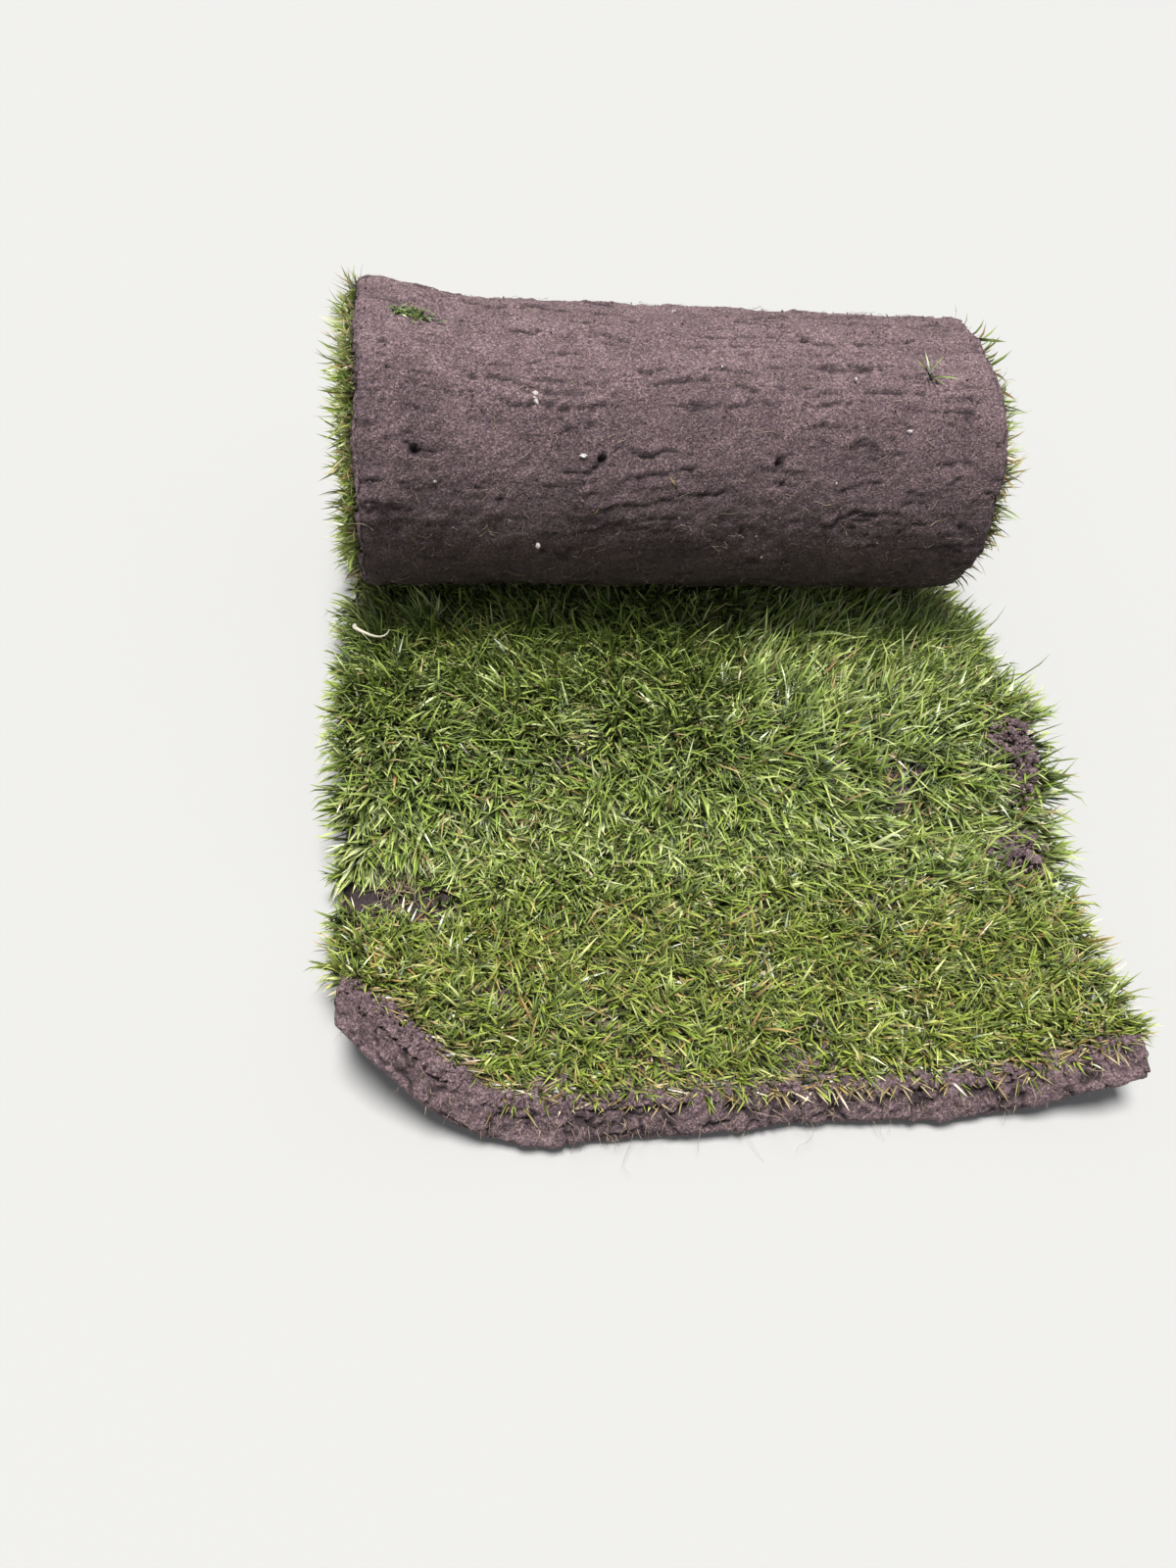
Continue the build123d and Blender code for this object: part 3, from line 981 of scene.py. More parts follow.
def blade_mesh(name, shape, blades, material, beside_roll=False, segments=3):
    """Curved, twisted grass blades as one piece, from a dictionary of their roots, directions and sizes."""
    roots, curl, twist = blades["root"], blades["curl"], blades["twist"]
    lengths, widths = blades["length"], blades["width"]
    rise, heading = unit(blades["rise"]), unit(blades["heading"])
    n = len(roots)
    bent = unit(heading - np.sum(heading * rise, 1, keepdims=True) * rise + 1e-6)
    shares = np.linspace(0, 1, segments + 1)
    side = unit(np.cross(rise, bent))
    centre, verts = roots.copy(), []
    for number, share in enumerate(shares):
        bend = np.clip(curl * share, 0, 2.4)[:, None]
        direction = unit(rise * np.cos(bend) + bent * np.sin(bend))
        if number:
            centre = centre + direction * (lengths / segments)[:, None]
        turn = (twist * (0.5 + share))[:, None]
        flat = side * np.cos(turn) + np.cross(direction, side) * np.sin(turn)
        half = (widths / 2 * (1.0 - 0.45 * share**2))[:, None]
        verts += [centre - flat * half, centre + flat * half] if number < segments else [centre]
    verts = settled(np.stack(verts, 1), shape, beside_roll)
    per = verts.shape[1]
    base = (np.arange(n) * per)[:, None]
    corners = []
    for number in range(segments - 1):
        a = 2 * number
        corners += [(a, a + 1, a + 3), (a, a + 3, a + 2)]
    corners.append((per - 3, per - 2, per - 1))
    faces = (base[:, :, None] + np.array(corners)[None]).reshape(-1, 3)
    piece = new_piece(name, verts.reshape(-1, 3), faces, material)
    column = np.clip(np.floor(blades["tone"] * TONES), 0, TONES - 1)
    u, v = np.empty((n, per)), np.empty((n, per))
    for number in range(segments):
        u[:, 2 * number] = (column + 0.06) / TONES
        u[:, 2 * number + 1] = (column + 0.94) / TONES
        v[:, 2 * number] = v[:, 2 * number + 1] = 0.02 + 0.96 * shares[number]
    u[:, -1], v[:, -1] = (column + 0.5) / TONES, 0.98
    layer = piece.data.uv_layers.new(name="OFBake")
    coords = np.stack([u.ravel()[faces.ravel()], v.ravel()[faces.ravel()]], -1)
    layer.data.foreach_set("uv", coords.astype(np.float32).ravel())
    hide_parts("grass_sward")
    return piece


def spot(x, place, centre, reach):
    """1 inside an oval spot of the strip, falling to 0 outside it."""
    far = ((x - centre[0]) / reach[0]) ** 2 + ((place - centre[1]) / reach[1]) ** 2
    return np.exp(-(far**2))


# Where the sward is missing: the dark hollow at the crease, and two crumbled patches along the right edge
HOLLOW = ((-0.262, -0.404), (0.052, 0.028))
PATCHES = (((0.285, -0.290), (0.022, 0.040)), ((0.274, -0.378), (0.034, 0.044)))


def bare_set_back(shape, x):
    """How far the grass stands back from the torn front edge."""
    ragged = layered_noise(np.stack([x, 0 * x, 0 * x], -1), 0.03, 120, 3, 0.6)
    return 0.008 - 0.006 * shape.corner(x, 1) + 0.046 * shape.corner(x, -1) ** 0.8 + 0.006 * ragged


def growth(shape, surface, x, place):
    """Chance that a tuft stands at a place of the tail."""
    behind = place - surface.s[0]
    grow = smooth_step((behind - bare_set_back(shape, x)) / 0.007)
    uneven = 0.012 * layered_noise(np.stack([x, place, 0 * x + 1.0], -1), 0.02, 133, 2)
    grow *= 1 - 0.97 * spot(x + uneven, place + uneven, *HOLLOW)
    for patch in PATCHES:
        grow *= 1 - 0.95 * spot(x, place, *patch)
    thin = layered_noise(np.stack([x, place, 0 * x], -1), 0.022, 131, 3)
    return grow * (1 - 0.85 * smooth_step((thin - 0.14) / 0.2))


class TURF_OT_grass(bpy.types.Operator):
    """Builds the standing grass of the open tail, tuft by tuft"""

    bl_idname = "turf.grass"
    bl_label = "Open grass"

    def execute(self, context):
        shape = StripShape(context.scene.turf_strip)
        look = context.scene.turf_grass
        rng = np.random.default_rng(look.seed)
        material = blade_material("Grass blades")
        surface = StripSurface(shape, False)
        tufts = look.blade_count // look.tuft_blades
        across = rng.uniform(0.0, 1.0, tufts * 2)
        place = surface.s[0] * rng.uniform(0.02, 1.0, tufts * 2)
        x = (2 * across - 1) * shape.half
        kept = rng.uniform(0, 1, len(x)) < growth(shape, surface, x, place)
        tuft_across, tuft_place = across[kept][:tufts], place[kept][:tufts]
        number = rng.integers(0, len(tuft_across), look.blade_count)
        spread = rng.normal(0, look.tuft_spread, (2, look.blade_count))
        tuft_x = (2 * tuft_across - 1) * shape.half
        flow = np.stack([tuft_x, tuft_place, 0 * tuft_x], -1)
        front = smooth_step((-tuft_place - 0.385) / 0.07)
        angle = mix(-0.06 * pi, 0.40 * pi, smooth_step((tuft_x + 0.12) / 0.30))
        angle = mix(angle, 0.30 * pi, front * 0.8) + 1.3 * layered_noise(flow, 0.085, 90, 2)
        tufts = len(tuft_x)
        angle += rng.normal(0, 0.75, tufts) + np.where(rng.uniform(0, 1, tufts) < 0.30 * front, pi, 0)
        tuft_lean = rng.uniform(0.25, 0.95, len(tuft_x)) * mix(1.0, 1.25, front)
        tuft_tone = 0.11 * layered_noise(flow, 0.05, 97, 3) + rng.normal(0, 0.07, len(tuft_x))
        a = tuft_across[number] + spread[0] / (2 * shape.half)
        p = np.clip(tuft_place[number] + spread[1], surface.s[0] + 0.001, -0.002)
        a = np.clip(a, 0.001, 0.999)
        top, up, ahead = surface.at(a, p, shape.s.soil_depth - 0.0015)
        count = look.blade_count
        front, x = front[number], top[:, 0]
        heading_angle = angle[number] + rng.normal(0, 0.55, count)
        heading = headed(ahead, heading_angle)
        heading += (RIGHT * spread[0][:, None] + ahead * -spread[1][:, None]) * 110
        over_side = np.sign(x) * smooth_step((np.abs(x) - shape.half + 0.020) / 0.016)
        over_side *= rng.uniform(0.3, 2.2, count)
        over_front = smooth_step((0.030 - (p - surface.s[0])) / 0.02) * rng.uniform(-0.5, 0.5, count)
        heading = unit(unit(heading) + RIGHT * over_side[:, None] + ahead * over_front[:, None])
        lean = np.clip(tuft_lean[number] + rng.normal(0, 0.22, count), 0.05, 1.35)
        lengths = look.blade_length * rng.lognormal(0, 0.24, count) * mix(1.0, 0.78, front)
        near_edge = smooth_step((0.045 - (p - surface.s[0]) + bare_set_back(shape, x) - 0.008) / 0.035)
        lengths *= mix(1.0, 0.72, near_edge)
        lengths *= mix(1.0, 0.62, smooth_step((p + 0.08) / 0.05))
        by_roll = np.exp(-(((p + 0.118) / 0.030) ** 2))
        lengths *= 1 + 0.22 * by_roll
        lean *= 1 - 0.45 * by_roll
        overhang = spot(x, p, (HOLLOW[0][0], HOLLOW[0][1] + 0.036), (HOLLOW[1][0], 0.012))
        heading = unit(heading + ahead * (2.0 * overhang)[:, None])
        lean = mix(lean, 1.15, overhang)
        lengths *= 1 + 0.12 * overhang
        bright = smooth_step(1 - np.abs(-p - 0.355) / 0.06)
        tone = 0.52 + tuft_tone[number] + rng.normal(0, 0.235, count) + 0.16 * bright - 0.05 * front
        # Short under-blades take the darkest green tones, a painted shade low in the sward.
        under = rng.uniform(0, 1, count) < mix(0.36, 0.28, front)
        tone = np.where(under, rng.uniform(0.165, 0.25, count), tone + 0.06)
        lengths *= np.where(under, 0.74, 1.06)
        dead = rng.uniform(0, 1, count) < mix(0.05, 0.11, front)
        tone = np.where(dead, rng.uniform(0.0, DEAD_TONE, count), np.clip(tone, GREEN_TONE, 0.99))
        blades = {
            "root": top,
            "rise": leaning(up, heading, lean),
            "heading": heading,
            "length": lengths * (1 - 0.35 * spot(x, p, HOLLOW[0], (HOLLOW[1][0] * 1.5, HOLLOW[1][1] * 1.5))),
            "width": look.blade_width * rng.lognormal(-0.03, 0.26, count) * mix(1.0, 0.82, front),
            "curl": rng.uniform(0.1, 1.2, count),
            "twist": rng.normal(0, 0.45, count),
            "tone": tone,
        }
        in_front = rng.uniform(0, 1, count) < front
        rear = {key: values[~in_front] for key, values in blades.items()}
        for part in range(look.pieces):
            share = {key: values[part :: look.pieces] for key, values in rear.items()}
            blade_mesh(f"grass_{part + 1}", shape, share, material, True)
        share = {key: values[in_front] for key, values in blades.items()}
        blade_mesh("grass_front", shape, share, blade_material("Front blades", 0.38), True)
        self.thatch(shape, surface, rng, material)
        return {"FINISHED"}

    def thatch(self, shape, surface, rng, material):
        """Dead and dark blades that lie flat between the tufts."""
        count = 9000
        place = surface.s[0] * rng.uniform(0.02, 1.0, count)
        x = rng.uniform(-1, 1, count) * shape.half
        kept = rng.uniform(0, 1, count) < 0.25 + growth(shape, surface, x, place)
        kept &= place - surface.s[0] > 0.3 * bare_set_back(shape, x)
        x, place = x[kept], place[kept]
        count = len(x)
        top, up, ahead = surface.at(surface.share(x, place), place, shape.s.soil_depth + 0.0005)
        angle = rng.uniform(0, 2 * pi, count)
        heading = headed(ahead, angle)
        lean = rng.uniform(1.15, 1.5, count)
        dead = rng.uniform(0, 1, count) < 0.6
        blades = {
            "root": top,
            "rise": leaning(up, heading, lean),
            "heading": heading,
            "length": rng.uniform(0.010, 0.024, count),
            "width": rng.uniform(0.0010, 0.0022, count),
            "curl": rng.uniform(0.0, 0.2, count),
            "twist": rng.normal(0, 0.6, count),
            "tone": np.where(dead, rng.uniform(0.0, DEAD_TONE, count), rng.uniform(0.17, 0.4, count)),
        }
        blade_mesh("grass_thatch", shape, blades, material, True)


class TURF_OT_packed_grass(bpy.types.Operator):
    """Builds the grass packed between the turns, where it shows at the roll's two ends"""

    bl_idname = "turf.packed_grass"
    bl_label = "Packed grass"

    def execute(self, context):
        shape = StripShape(context.scene.turf_strip)
        look = context.scene.turf_grass
        rng = np.random.default_rng(look.seed + 1)
        material = blade_material("Packed blades")
        surface = StripSurface(shape, True)
        for side, count, reach, name in ((-1, 8000, 0.034, "left"), (1, 7000, 0.031, "right")):
            place = rng.uniform(0.0, surface.s[-1] - 0.002, count)
            left_edge, right_edge = surface.edges(place)
            inset = rng.uniform(0.0, 0.026, count)
            x = np.where(side < 0, left_edge, right_edge) - side * inset
            top, inward, ahead = surface.at(surface.share(x, place), place, shape.s.soil_depth - 0.001)
            lean = rng.uniform(0.35, 1.25, count)
            drift = rng.normal(0, 0.75, count)
            heading = unit(side * RIGHT + ahead * drift[:, None])
            outer = rng.uniform(0, 1, count) < 0.22
            bent = unit(heading - inward * np.where(outer, rng.uniform(0.3, 1.6, count), 0)[:, None])
            tone = np.clip(rng.normal(0.62, 0.25, count), GREEN_TONE, 0.99)
            blades = {
                "root": top + inward * (rng.uniform(0.0, 0.012, count))[:, None],
                "rise": inward * np.cos(lean)[:, None] * 0.7 + heading * np.sin(lean)[:, None],
                "heading": bent,
                "length": np.minimum(reach * rng.lognormal(-0.25, 0.3, count), 0.038),
                "width": look.blade_width * rng.lognormal(-0.15, 0.25, count),
                "curl": rng.uniform(0.3, 1.2, count),
                "twist": rng.normal(0, 0.6, count),
                "tone": np.where(rng.uniform(0, 1, count) < 0.28, rng.uniform(0.0, DEAD_TONE, count), tone),
            }
            blade_mesh(f"grass_{name}_end", shape, blades, material)
            self.wild(shape, surface, rng, material, side, name)
        self.lining(shape, surface, rng, material)
        return {"FINISHED"}

    def lining(self, shape, surface, rng, material):
        """The pressed grass that lines the hollow in the core."""
        look = bpy.context.scene.turf_grass
        count = 9000
        place = surface.s[-1] - rng.uniform(0.001, 0.62, count)
        top, inward, ahead = surface.at(rng.uniform(0.03, 0.97, count), place, shape.s.soil_depth)
        angle = rng.uniform(0, 2 * pi, count)
        heading = headed(ahead, angle)
        lean = rng.uniform(0.5, 1.2, count)
        blades = {
            "root": top,
            "rise": leaning(inward, heading, lean),
            "heading": heading,
            "length": look.blade_length * rng.uniform(0.6, 1.05, count),
            "width": look.blade_width * rng.lognormal(0.05, 0.25, count),
            "curl": rng.uniform(0.1, 1.0, count),
            "twist": rng.normal(0, 0.5, count),
            "tone": np.clip(rng.normal(0.5, 0.2, count), 0.02, 0.99),
        }
        blade_mesh("grass_lining", shape, blades, material)

    def wild(self, shape, surface, rng, material, side, name):
        """Stray blades that stand out from one end of the outer turn, most of them on the left."""
        look = bpy.context.scene.turf_grass
        count = 700 if side < 0 else 330
        place = rng.uniform(0.08, 0.84, count)
        left_edge, right_edge = surface.edges(place)
        x = np.where(side < 0, left_edge, right_edge) - side * rng.uniform(0.001, 0.006, count)
        top, inward, ahead = surface.at(surface.share(x, place), place, rng.uniform(0.006, 0.030, count))
        out = rng.normal(0.35, 0.6, count)
        drift = rng.normal(0, 0.8, count)
        heading = unit(side * RIGHT - inward * out[:, None] + ahead * drift[:, None])
        blades = {
            "root": top,
            "rise": unit(side * RIGHT + heading),
            "heading": heading,
            "length": rng.uniform(0.012, 0.032, count),
            "width": look.blade_width * rng.lognormal(-0.15, 0.25, count),
            "curl": rng.uniform(0.3, 1.4, count),
            "twist": rng.normal(0, 0.6, count),
            "tone": np.where(
                rng.uniform(0, 1, count) < 0.3, rng.uniform(0.0, 0.1, count), rng.uniform(0.45, 0.99, count)
            ),
        }
        blade_mesh(f"grass_{name}_wild", shape, blades, material)


# Roots, crumbs and stones

def strand_mesh(name, paths, radii, material, sides=3):
    """Thin tubes along paths (n, points, 3) that thin out to their tips, as one piece."""
    n, count = paths.shape[:2]
    direction = unit(np.gradient(paths, axis=1))
    side = unit(np.cross(direction, np.array([0.31, 0.52, 0.79])))
    other = np.cross(direction, side)
    taper = radii[:, None, None] * (1 - 0.75 * np.linspace(0, 1, count))[None, :, None]
    angles = 2 * pi * np.arange(sides) / sides
    verts = np.stack([paths + (side * math.cos(a) + other * math.sin(a)) * taper for a in angles], 2)
    local = grid_faces(count, sides, True)
    faces = (local[None] + (np.arange(n) * count * sides)[:, None, None]).reshape(-1, 4)
    return new_piece(name, verts.reshape(-1, 3), faces, material)


def wandering(start, direction, lengths, steps, wander, fall, rng):
    """Crooked paths from start points: each step turns a little, and fall bends them down."""
    paths, point, way = [start], start.copy(), unit(direction)
    for _ in range(steps):
        way = unit(way + rng.normal(0, wander, way.shape) + np.array([0, 0, -fall]))
        point = point + way * (lengths / steps)[:, None]
        paths.append(point)
    return np.stack(paths, 1)


def surface_paths(surface, x, place, lift, lengths, steps, wander, rng):
    """Crooked paths that keep close to the strip's face."""
    angle = rng.uniform(0, 2 * pi, len(x))
    xs, ps = [x], [place]
    for _ in range(steps):
        angle = angle + rng.normal(0, wander, len(x))
        xs.append(xs[-1] + np.cos(angle) * lengths / steps)
        ps.append(ps[-1] + np.sin(angle) * lengths / steps)
    xs, ps = np.stack(xs, 1), np.stack(ps, 1)
    off = lift + 0.0008 * rng.normal(0, 1, xs.shape)
    left, right = surface.edges(ps.ravel())
    across = (xs.ravel() - left) / (right - left)
    return surface.at(across.reshape(xs.shape), ps, off)[0]


GOLDEN = (1 + math.sqrt(5)) / 2
LUMP_POINTS = [(-1, GOLDEN, 0), (1, GOLDEN, 0), (-1, -GOLDEN, 0), (1, -GOLDEN, 0)]
LUMP_POINTS += [(0, -1, GOLDEN), (0, 1, GOLDEN), (0, -1, -GOLDEN), (0, 1, -GOLDEN)]
LUMP_POINTS += [(GOLDEN, 0, -1), (GOLDEN, 0, 1), (-GOLDEN, 0, -1), (-GOLDEN, 0, 1)]
LUMP_FACES = [(0, 11, 5), (0, 5, 1), (0, 1, 7), (0, 7, 10), (0, 10, 11), (1, 5, 9), (5, 11, 4), (11, 10, 2)]
LUMP_FACES += [(10, 7, 6), (7, 1, 8), (3, 9, 4), (3, 4, 2), (3, 2, 6), (3, 6, 8), (3, 8, 9), (4, 9, 5)]
LUMP_FACES += [(2, 4, 11), (6, 2, 10), (8, 6, 7), (9, 8, 1)]


def lump_mesh(name, shape, places, sizes, roughness, material, rng, smooth=False):
    """Small irregular lumps as one piece."""
    base = unit(np.array(LUMP_POINTS, float))
    n = len(places)
    stretch = rng.uniform(0.65, 1.25, (n, 1, 3))
    verts = base[None] * (1 + rng.normal(0, roughness, (n, 12, 1))) * stretch
    spin = rng.normal(0, 1, (n, 2, 3))
    first = unit(spin[:, 0])
    second = unit(np.cross(first, spin[:, 1]))
    turned = np.stack([first, second, np.cross(first, second)], 1)
    verts = np.einsum("nvk,nkj->nvj", verts, turned) * sizes[:, None, None] / 2 + places[:, None]
    faces = (np.array(LUMP_FACES)[None] + (np.arange(n) * 12)[:, None, None]).reshape(-1, 3)
    return new_piece(name, settled(verts, shape).reshape(-1, 3), faces, material, smooth)


class TURF_OT_roots(bpy.types.Operator):
    """Adds the hair roots of the soil faces, the root tuft in the hollow and the curled root at the left"""

    bl_idname = "turf.roots"
    bl_label = "Roots"

    def execute(self, context):
        shape = StripShape(context.scene.turf_strip)
        rng = np.random.default_rng(51)
        hair = bits_material("Hair roots", (0.16, 0.11, 0.075), (0.46, 0.36, 0.26), 0.7, 160)
        pale = bits_material("Pale root", (0.52, 0.47, 0.36), (0.78, 0.74, 0.62), 0.55, 120)
        skin, tail = StripSurface(shape, True), StripSurface(shape, False)
        depth = shape.s.soil_depth
        count = 620
        x, place = rng.uniform(-0.29, 0.27, count), rng.uniform(0.24, 0.82, count)
        paths = surface_paths(skin, x, place, -0.0012, rng.uniform(0.006, 0.026, count), 6, 0.5, rng)
        strand_mesh("roots_roll", paths, rng.uniform(0.00015, 0.00034, count), hair)
        count = 420
        x = np.concatenate([rng.uniform(-0.30, 0.30, count - 60), rng.uniform(-0.305, -0.20, 60)])
        front = tail.s[0] + 0.002 + 0 * x
        start, up, ahead = tail.at(tail.share(x, front), front, rng.uniform(0.002, depth + 0.003, count))
        reach = shape.s.bevel_reach + shape.s.left_corner_bank * shape.corner(x, -1)
        reach = reach * rng.uniform(0.3, 1.0, count)
        height = start[:, 2] - start[:, 2].min()
        start = start + ahead * (reach * np.clip(1.35 - height / 0.06, 0.2, 1))[:, None]
        way = ahead * 0.8 + np.stack([rng.normal(0, 0.8, count), 0 * x, rng.normal(-0.2, 0.4, count)], -1)
        lengths = 0.005 + rng.exponential(0.006, count)
        paths = settled(wandering(start, way, lengths, 6, 0.35, 0.12, rng), shape)
        strand_mesh("roots_front", paths, rng.uniform(0.00016, 0.00040, count), hair)
        count = 300
        side = np.where(rng.uniform(0, 1, count) < 0.5, -1.0, 1.0)
        place = rng.uniform(0.05, 0.85, count)
        left, right = skin.edges(place)
        x = np.where(side < 0, left + 0.002, right - 0.002)
        start, _, _ = skin.at(skin.share(x, place), place, rng.uniform(0.0, depth, count))
        way = side[:, None] * RIGHT + rng.normal(0, 0.6, (count, 3))
        paths = settled(wandering(start, way, rng.uniform(0.005, 0.018, count), 6, 0.4, 0.1, rng), shape)
        strand_mesh("roots_ends", paths, rng.uniform(0.00015, 0.00032, count), hair)
        count = 90
        x = HOLLOW[0][0] + rng.normal(0, 0.012, count)
        place = HOLLOW[0][1] + rng.normal(-0.002, 0.007, count)
        start, up, ahead = tail.at(tail.share(x, place), place, depth + 0.002)
        way = up * 0.8 + rng.normal(0, 0.6, (count, 3))
        paths = wandering(start, way, rng.uniform(0.008, 0.022, count), 6, 0.4, 0.15, rng)
        strand_mesh("roots_hollow", paths, rng.uniform(0.0003, 0.0006, count), hair)
        turn = np.linspace(-0.2, 2.9, 12)
        curl = np.stack([-0.016 * np.cos(turn), 0 * turn, 0 * turn], -1)
        x, place = np.array([-0.289]), np.array([-0.138])
        start, up, ahead = tail.at(tail.share(x, place), place, depth + 0.038)
        curl += start + ahead * 0.015 * np.sin(turn)[:, None] + up * (0.003 * np.sin(2 * turn))[:, None]
        strand_mesh("root_curled", curl[None], np.array([0.0022]), pale, 7)
        return {"FINISHED"}


class TURF_OT_crumbs(bpy.types.Operator):
    """Scatters soil crumbs over the faces, the torn front and the bare patches, with a few pebbles"""

    bl_idname = "turf.crumbs"
    bl_label = "Crumbs and pebbles"

    def execute(self, context):
        shape = StripShape(context.scene.turf_strip)
        rng = np.random.default_rng(61)
        soil = soil_material("Soil crumbs", 0.9)
        stone = bits_material("Pebbles", (0.30, 0.26, 0.25), (0.74, 0.71, 0.69), 0.7, 420)
        skin, tail = StripSurface(shape, True), StripSurface(shape, False)
        depth = shape.s.soil_depth
        count = 1000
        x, place = rng.uniform(-0.295, 0.275, count), rng.uniform(0.2, 0.84, count)
        on_skin = skin.at(skin.share(x, place), place, -0.0006 * rng.uniform(0, 2, count))[0]
        count = 1200
        x = np.concatenate([rng.uniform(-0.305, 0.305, count - 600), rng.uniform(-0.305, -0.19, 600)])
        behind = bare_set_back(shape, x) * rng.uniform(-0.2, 1.1, count)
        place = tail.s[0] + np.maximum(behind, 0.0005)
        lip = tail.at(tail.share(x, place), place, depth + 0.002 + 0.003 * rng.uniform(0, 1, count))[0]
        spots = [on_skin, lip]
        sizes = [rng.uniform(0.0010, 0.0024, len(on_skin)), rng.lognormal(-5.6, 0.45, count)]
        for centre, reach in PATCHES:
            count = 420
            x = np.clip(centre[0] + rng.normal(0, 0.55, count) * reach[0], -0.306, 0.306)
            place = centre[1] + rng.normal(0, 0.55, count) * reach[1]
            heap = rng.uniform(0, 0.020, count) * spot(x, place, centre, reach)
            spots.append(tail.at(tail.share(x, place), place, depth + heap)[0])
            sizes.append(rng.lognormal(-5.3, 0.45, count))
        places, sizes = np.concatenate(spots), np.minimum(np.concatenate(sizes), 0.013)
        lump_mesh("crumbs", shape, places, sizes, 0.22, soil, rng)
        pebbles = [(-0.1455, 0.578, 0.0075), (-0.1448, 0.571, 0.0065), (-0.010, 0.445, 0.0060)]
        pebbles += [(-0.1053, 0.622, 0.0065), (-0.1405, 0.705, 0.0055), (0.0652, 0.7145, 0.0040)]
        pebbles += [(0.1856, 0.5945, 0.0050), (-0.2307, 0.6475, 0.0035), (0.020, 0.535, 0.0030)]
        pebbles += [(-0.06, 0.66, 0.0032), (0.12, 0.64, 0.0028), (0.14, 0.545, 0.0034)]
        px, ps, size = (np.array(values) for values in zip(*pebbles))
        places = skin.at(skin.share(px, ps), ps, -0.0004)[0]
        lump_mesh("pebbles", shape, places, size, 0.22, stone, rng)
        return {"FINISHED"}


class TURF_OT_scraps(bpy.types.Operator):
    """Adds straw stems along the torn front, the moss scrap and the green blades caught on the roll"""

    bl_idname = "turf.scraps"
    bl_label = "Stems and scraps"

    def execute(self, context):
        shape = StripShape(context.scene.turf_strip)
        rng = np.random.default_rng(71)
        material = blade_material("Scrap blades")
        skin, tail = StripSurface(shape, True), StripSurface(shape, False)
        depth = shape.s.soil_depth
        count = 1200
        x = rng.uniform(-0.300, 0.305, count)
        place = tail.s[0] + bare_set_back(shape, x) * rng.uniform(0.5, 1.25, count) + 0.0015
        top, up, ahead = tail.at(tail.share(x, place), place, depth + rng.uniform(0, 0.004, count))
        angle = np.where(rng.uniform(0, 1, count) < 0.5, -1.4, 1.4) + rng.normal(0, 0.5, count)
        heading = headed(ahead, angle)
        lean = rng.uniform(1.2, 1.62, count)
        stems = {
            "root": top,
            "rise": leaning(up, heading, lean),
            "heading": heading - up * 0.3,
            "length": rng.uniform(0.008, 0.028, count),
            "width": rng.uniform(0.0010, 0.0021, count),
            "curl": rng.uniform(0.0, 0.7, count),
            "twist": rng.normal(0, 0.6, count),
            "tone": rng.uniform(0.0, 0.11, count),
        }
        blade_mesh("stems_front", shape, stems, material)
        groups = [
            (-0.2470, 0.488, 120, 0.008, 0.008, 0.38, 1.35),
            (0.2107, 0.539, 7, 0.003, 0.026, 0.66, 0.9),
            (-0.06, 0.66, 4, 0.03, 0.014, 0.05, 1.4),
        ]
        for number, (cx, cs, count, spread, size, shade, lie) in enumerate(groups):
            x, place = cx + rng.normal(0, spread, count), cs + rng.normal(0, spread * 0.35, count)
            top, inward, ahead = skin.at(skin.share(x, place), place, -0.001)
            angle = rng.uniform(0, 2 * pi, count)
            heading = headed(ahead, angle)
            scrap = {
                "root": top,
                "rise": -inward * math.cos(lie) + heading * math.sin(lie),
                "heading": heading,
                "length": size * rng.uniform(0.6, 1.2, count),
                "width": rng.uniform(0.0011, 0.0021, count),
                "curl": rng.uniform(0.0, 0.7, count),
                "twist": rng.normal(0, 0.5, count),
                "tone": np.clip(rng.normal(shade, 0.08, count), 0.02, 0.98),
            }
            blade_mesh(f"scrap_{number + 1}", shape, scrap, material)
        return {"FINISHED"}


# Stage

# Camera: place, heading east of +Y, tilt down and roll, as the photograph was taken
CAMERA_PLACE = (-0.240, -0.677, 0.830)
CAMERA_YAW = math.radians(13.28)
CAMERA_PITCH = math.radians(52.4)
CAMERA_ROLL = math.radians(-9.77)
IMAGE_HEIGHT = 1600
SENSOR = 36.0
# Half the floor's width, the point the lamps face, and each lamp's place, shares of the key's spread and
# level, and colour
FLOOR_REACH = 30.0
LAMP_TARGET = (0, -0.05, 0.05)
LAMPS = (
    ("key", (-0.22, 0.14, 2.7), 1, 1, (1.0, 0.985, 0.96)),
    ("front", (-0.9, -1.9, 1.7), 2, 0.06, (0.94, 0.97, 1.0)),
)


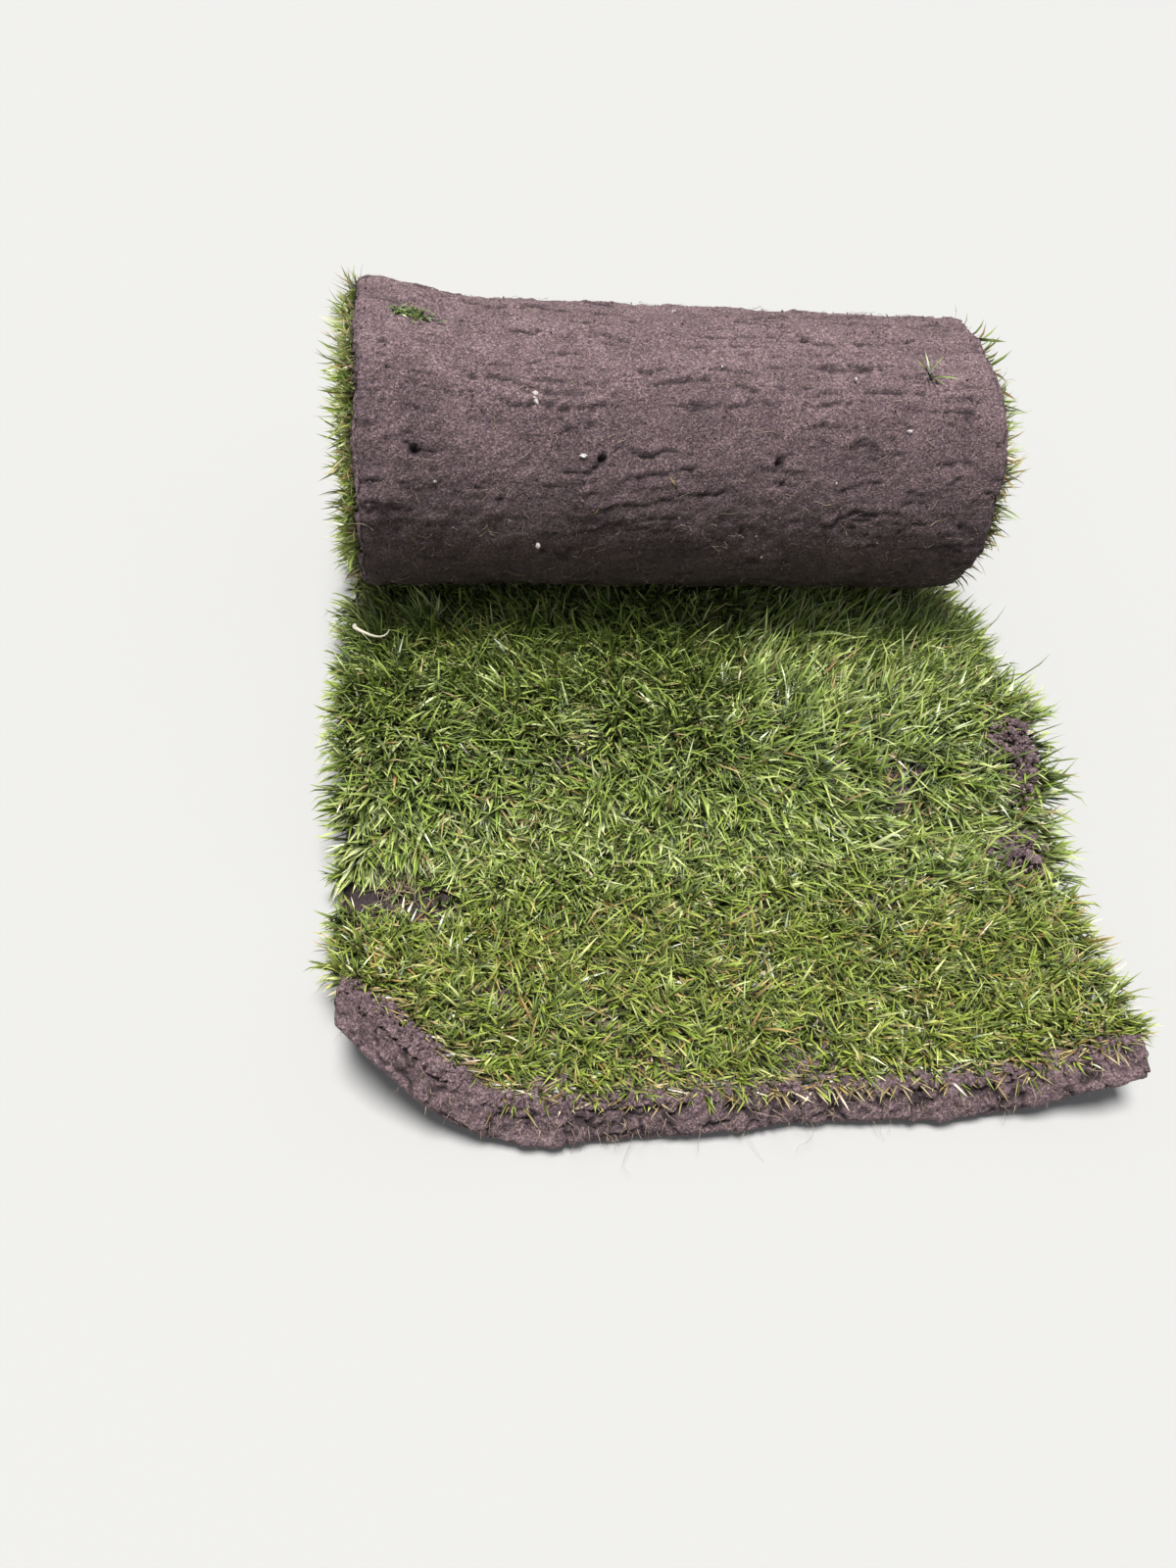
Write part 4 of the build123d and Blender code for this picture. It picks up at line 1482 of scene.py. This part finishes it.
class TURF_OT_stage(bpy.types.Operator):
    """Adds the plain floor, the soft lights and the camera"""

    bl_idname = "turf.stage"
    bl_label = "Stage"

    def execute(self, context):
        look = context.scene.turf_stage
        scene = context.scene
        mesh = bpy.data.meshes.new("floor")
        r = FLOOR_REACH
        corners = [(-r, -r, 0), (r, -r, 0), (r, r, 0), (-r, r, 0)]
        mesh.from_pydata(corners, [], [(0, 1, 2, 3)])
        floor = bpy.data.objects.new("floor", mesh)
        scene.collection.objects.link(floor)
        material, _, shader = new_material("Pale floor")
        shader.inputs["Base Color"].default_value = opaque(look.floor_color)
        shader.inputs["Roughness"].default_value = 0.9
        mesh.materials.append(material)
        world = bpy.data.worlds.new("Soft studio")
        world.use_nodes = True
        self.fill_world(world.node_tree, look)
        scene.world = world
        for name, place, spread, share, color in LAMPS:
            data = bpy.data.lights.new(name, "SUN")
            data.angle = look.key_spread * spread
            data.energy = look.key_level * share
            data.color = color
            lamp = bpy.data.objects.new(name, data)
            lamp.location = place
            aim = Vector(LAMP_TARGET) - Vector(place)
            lamp.rotation_euler = aim.to_track_quat("-Z", "Y").to_euler()
            scene.collection.objects.link(lamp)
        self.add_camera(scene, look)
        scene.view_settings.view_transform = "Standard"
        return {"FINISHED"}

    def fill_world(self, tree, look):
        """Even light all around, which shows as a pale backdrop where it is seen."""
        sheet = NodeSheet(tree)
        light = tree.nodes["Background"]
        light.inputs[0].default_value = (0.90, 0.95, 1.0, 1)
        light.inputs[1].default_value = look.sky_level
        pale = sheet.add("ShaderNodeBackground")
        pale.inputs[0].default_value = (0.90, 0.90, 0.895, 1)
        pale.inputs[1].default_value = 0.92
        rays = sheet.add("ShaderNodeLightPath")
        choice = sheet.add("ShaderNodeMixShader")
        sheet.link(rays.outputs["Is Camera Ray"], choice.inputs[0])
        sheet.link(light.outputs[0], choice.inputs[1])
        sheet.link(pale.outputs[0], choice.inputs[2])
        sheet.link(choice.outputs[0], tree.nodes["World Output"].inputs[0])

    def add_camera(self, scene, look):
        data = bpy.data.cameras.new("camera")
        data.sensor_fit = "VERTICAL"
        data.sensor_height = SENSOR
        data.lens = look.focal_pixels * SENSOR / IMAGE_HEIGHT
        camera = bpy.data.objects.new("camera", data)
        flat = math.cos(CAMERA_PITCH)
        forward = Vector((math.sin(CAMERA_YAW) * flat, math.cos(CAMERA_YAW) * flat, -math.sin(CAMERA_PITCH)))
        right = forward.cross(Vector((0, 0, 1))).normalized()
        down = forward.cross(right)
        c, n = math.cos(CAMERA_ROLL), math.sin(CAMERA_ROLL)
        turned_right, turned_down = c * right + n * down, -n * right + c * down
        rotation = Matrix((turned_right, -turned_down, -forward)).transposed().to_4x4()
        camera.matrix_world = Matrix.Translation(CAMERA_PLACE) @ rotation
        scene.collection.objects.link(camera)
        scene.camera = camera


# Panel and registration

GROUPS = (
    ("turf_strip", TurfStripSettings),
    ("turf_soil", TurfSoilSettings),
    ("turf_grass", TurfGrassSettings),
    ("turf_stage", TurfStageSettings),
)
OPERATORS = (
    TURF_OT_roll_soil,
    TURF_OT_tail_soil,
    TURF_OT_grass,
    TURF_OT_packed_grass,
    TURF_OT_roots,
    TURF_OT_crumbs,
    TURF_OT_scraps,
    TURF_OT_stage,
)


class TURF_PT_panel(bpy.types.Panel):
    bl_idname = "TURF_PT_panel"
    bl_label = "Turf roll"
    bl_space_type = "VIEW_3D"
    bl_region_type = "UI"
    bl_category = "Turf"

    def draw(self, context):
        for attribute, kind in GROUPS:
            box = self.layout.box()
            for name in kind.__annotations__:
                box.prop(getattr(context.scene, attribute), name)
        for operator in OPERATORS:
            self.layout.operator(operator.bl_idname)


def register():
    for name, group in GROUPS:
        bpy.utils.register_class(group)
        setattr(bpy.types.Scene, name, PointerProperty(type=group))
    for kind in OPERATORS + (TURF_PT_panel,):
        bpy.utils.register_class(kind)


def unregister():
    for kind in reversed(OPERATORS + (TURF_PT_panel,)):
        bpy.utils.unregister_class(kind)
    for name, group in reversed(GROUPS):
        delattr(bpy.types.Scene, name)
        bpy.utils.unregister_class(group)


def main():
    register()
    bpy.ops.turf.roll_soil()
    bpy.ops.turf.tail_soil()
    bpy.ops.turf.grass()
    bpy.ops.turf.packed_grass()
    bpy.ops.turf.roots()
    bpy.ops.turf.crumbs()
    bpy.ops.turf.scraps()
    bpy.ops.turf.stage()


if __name__ == "__main__":
    main()
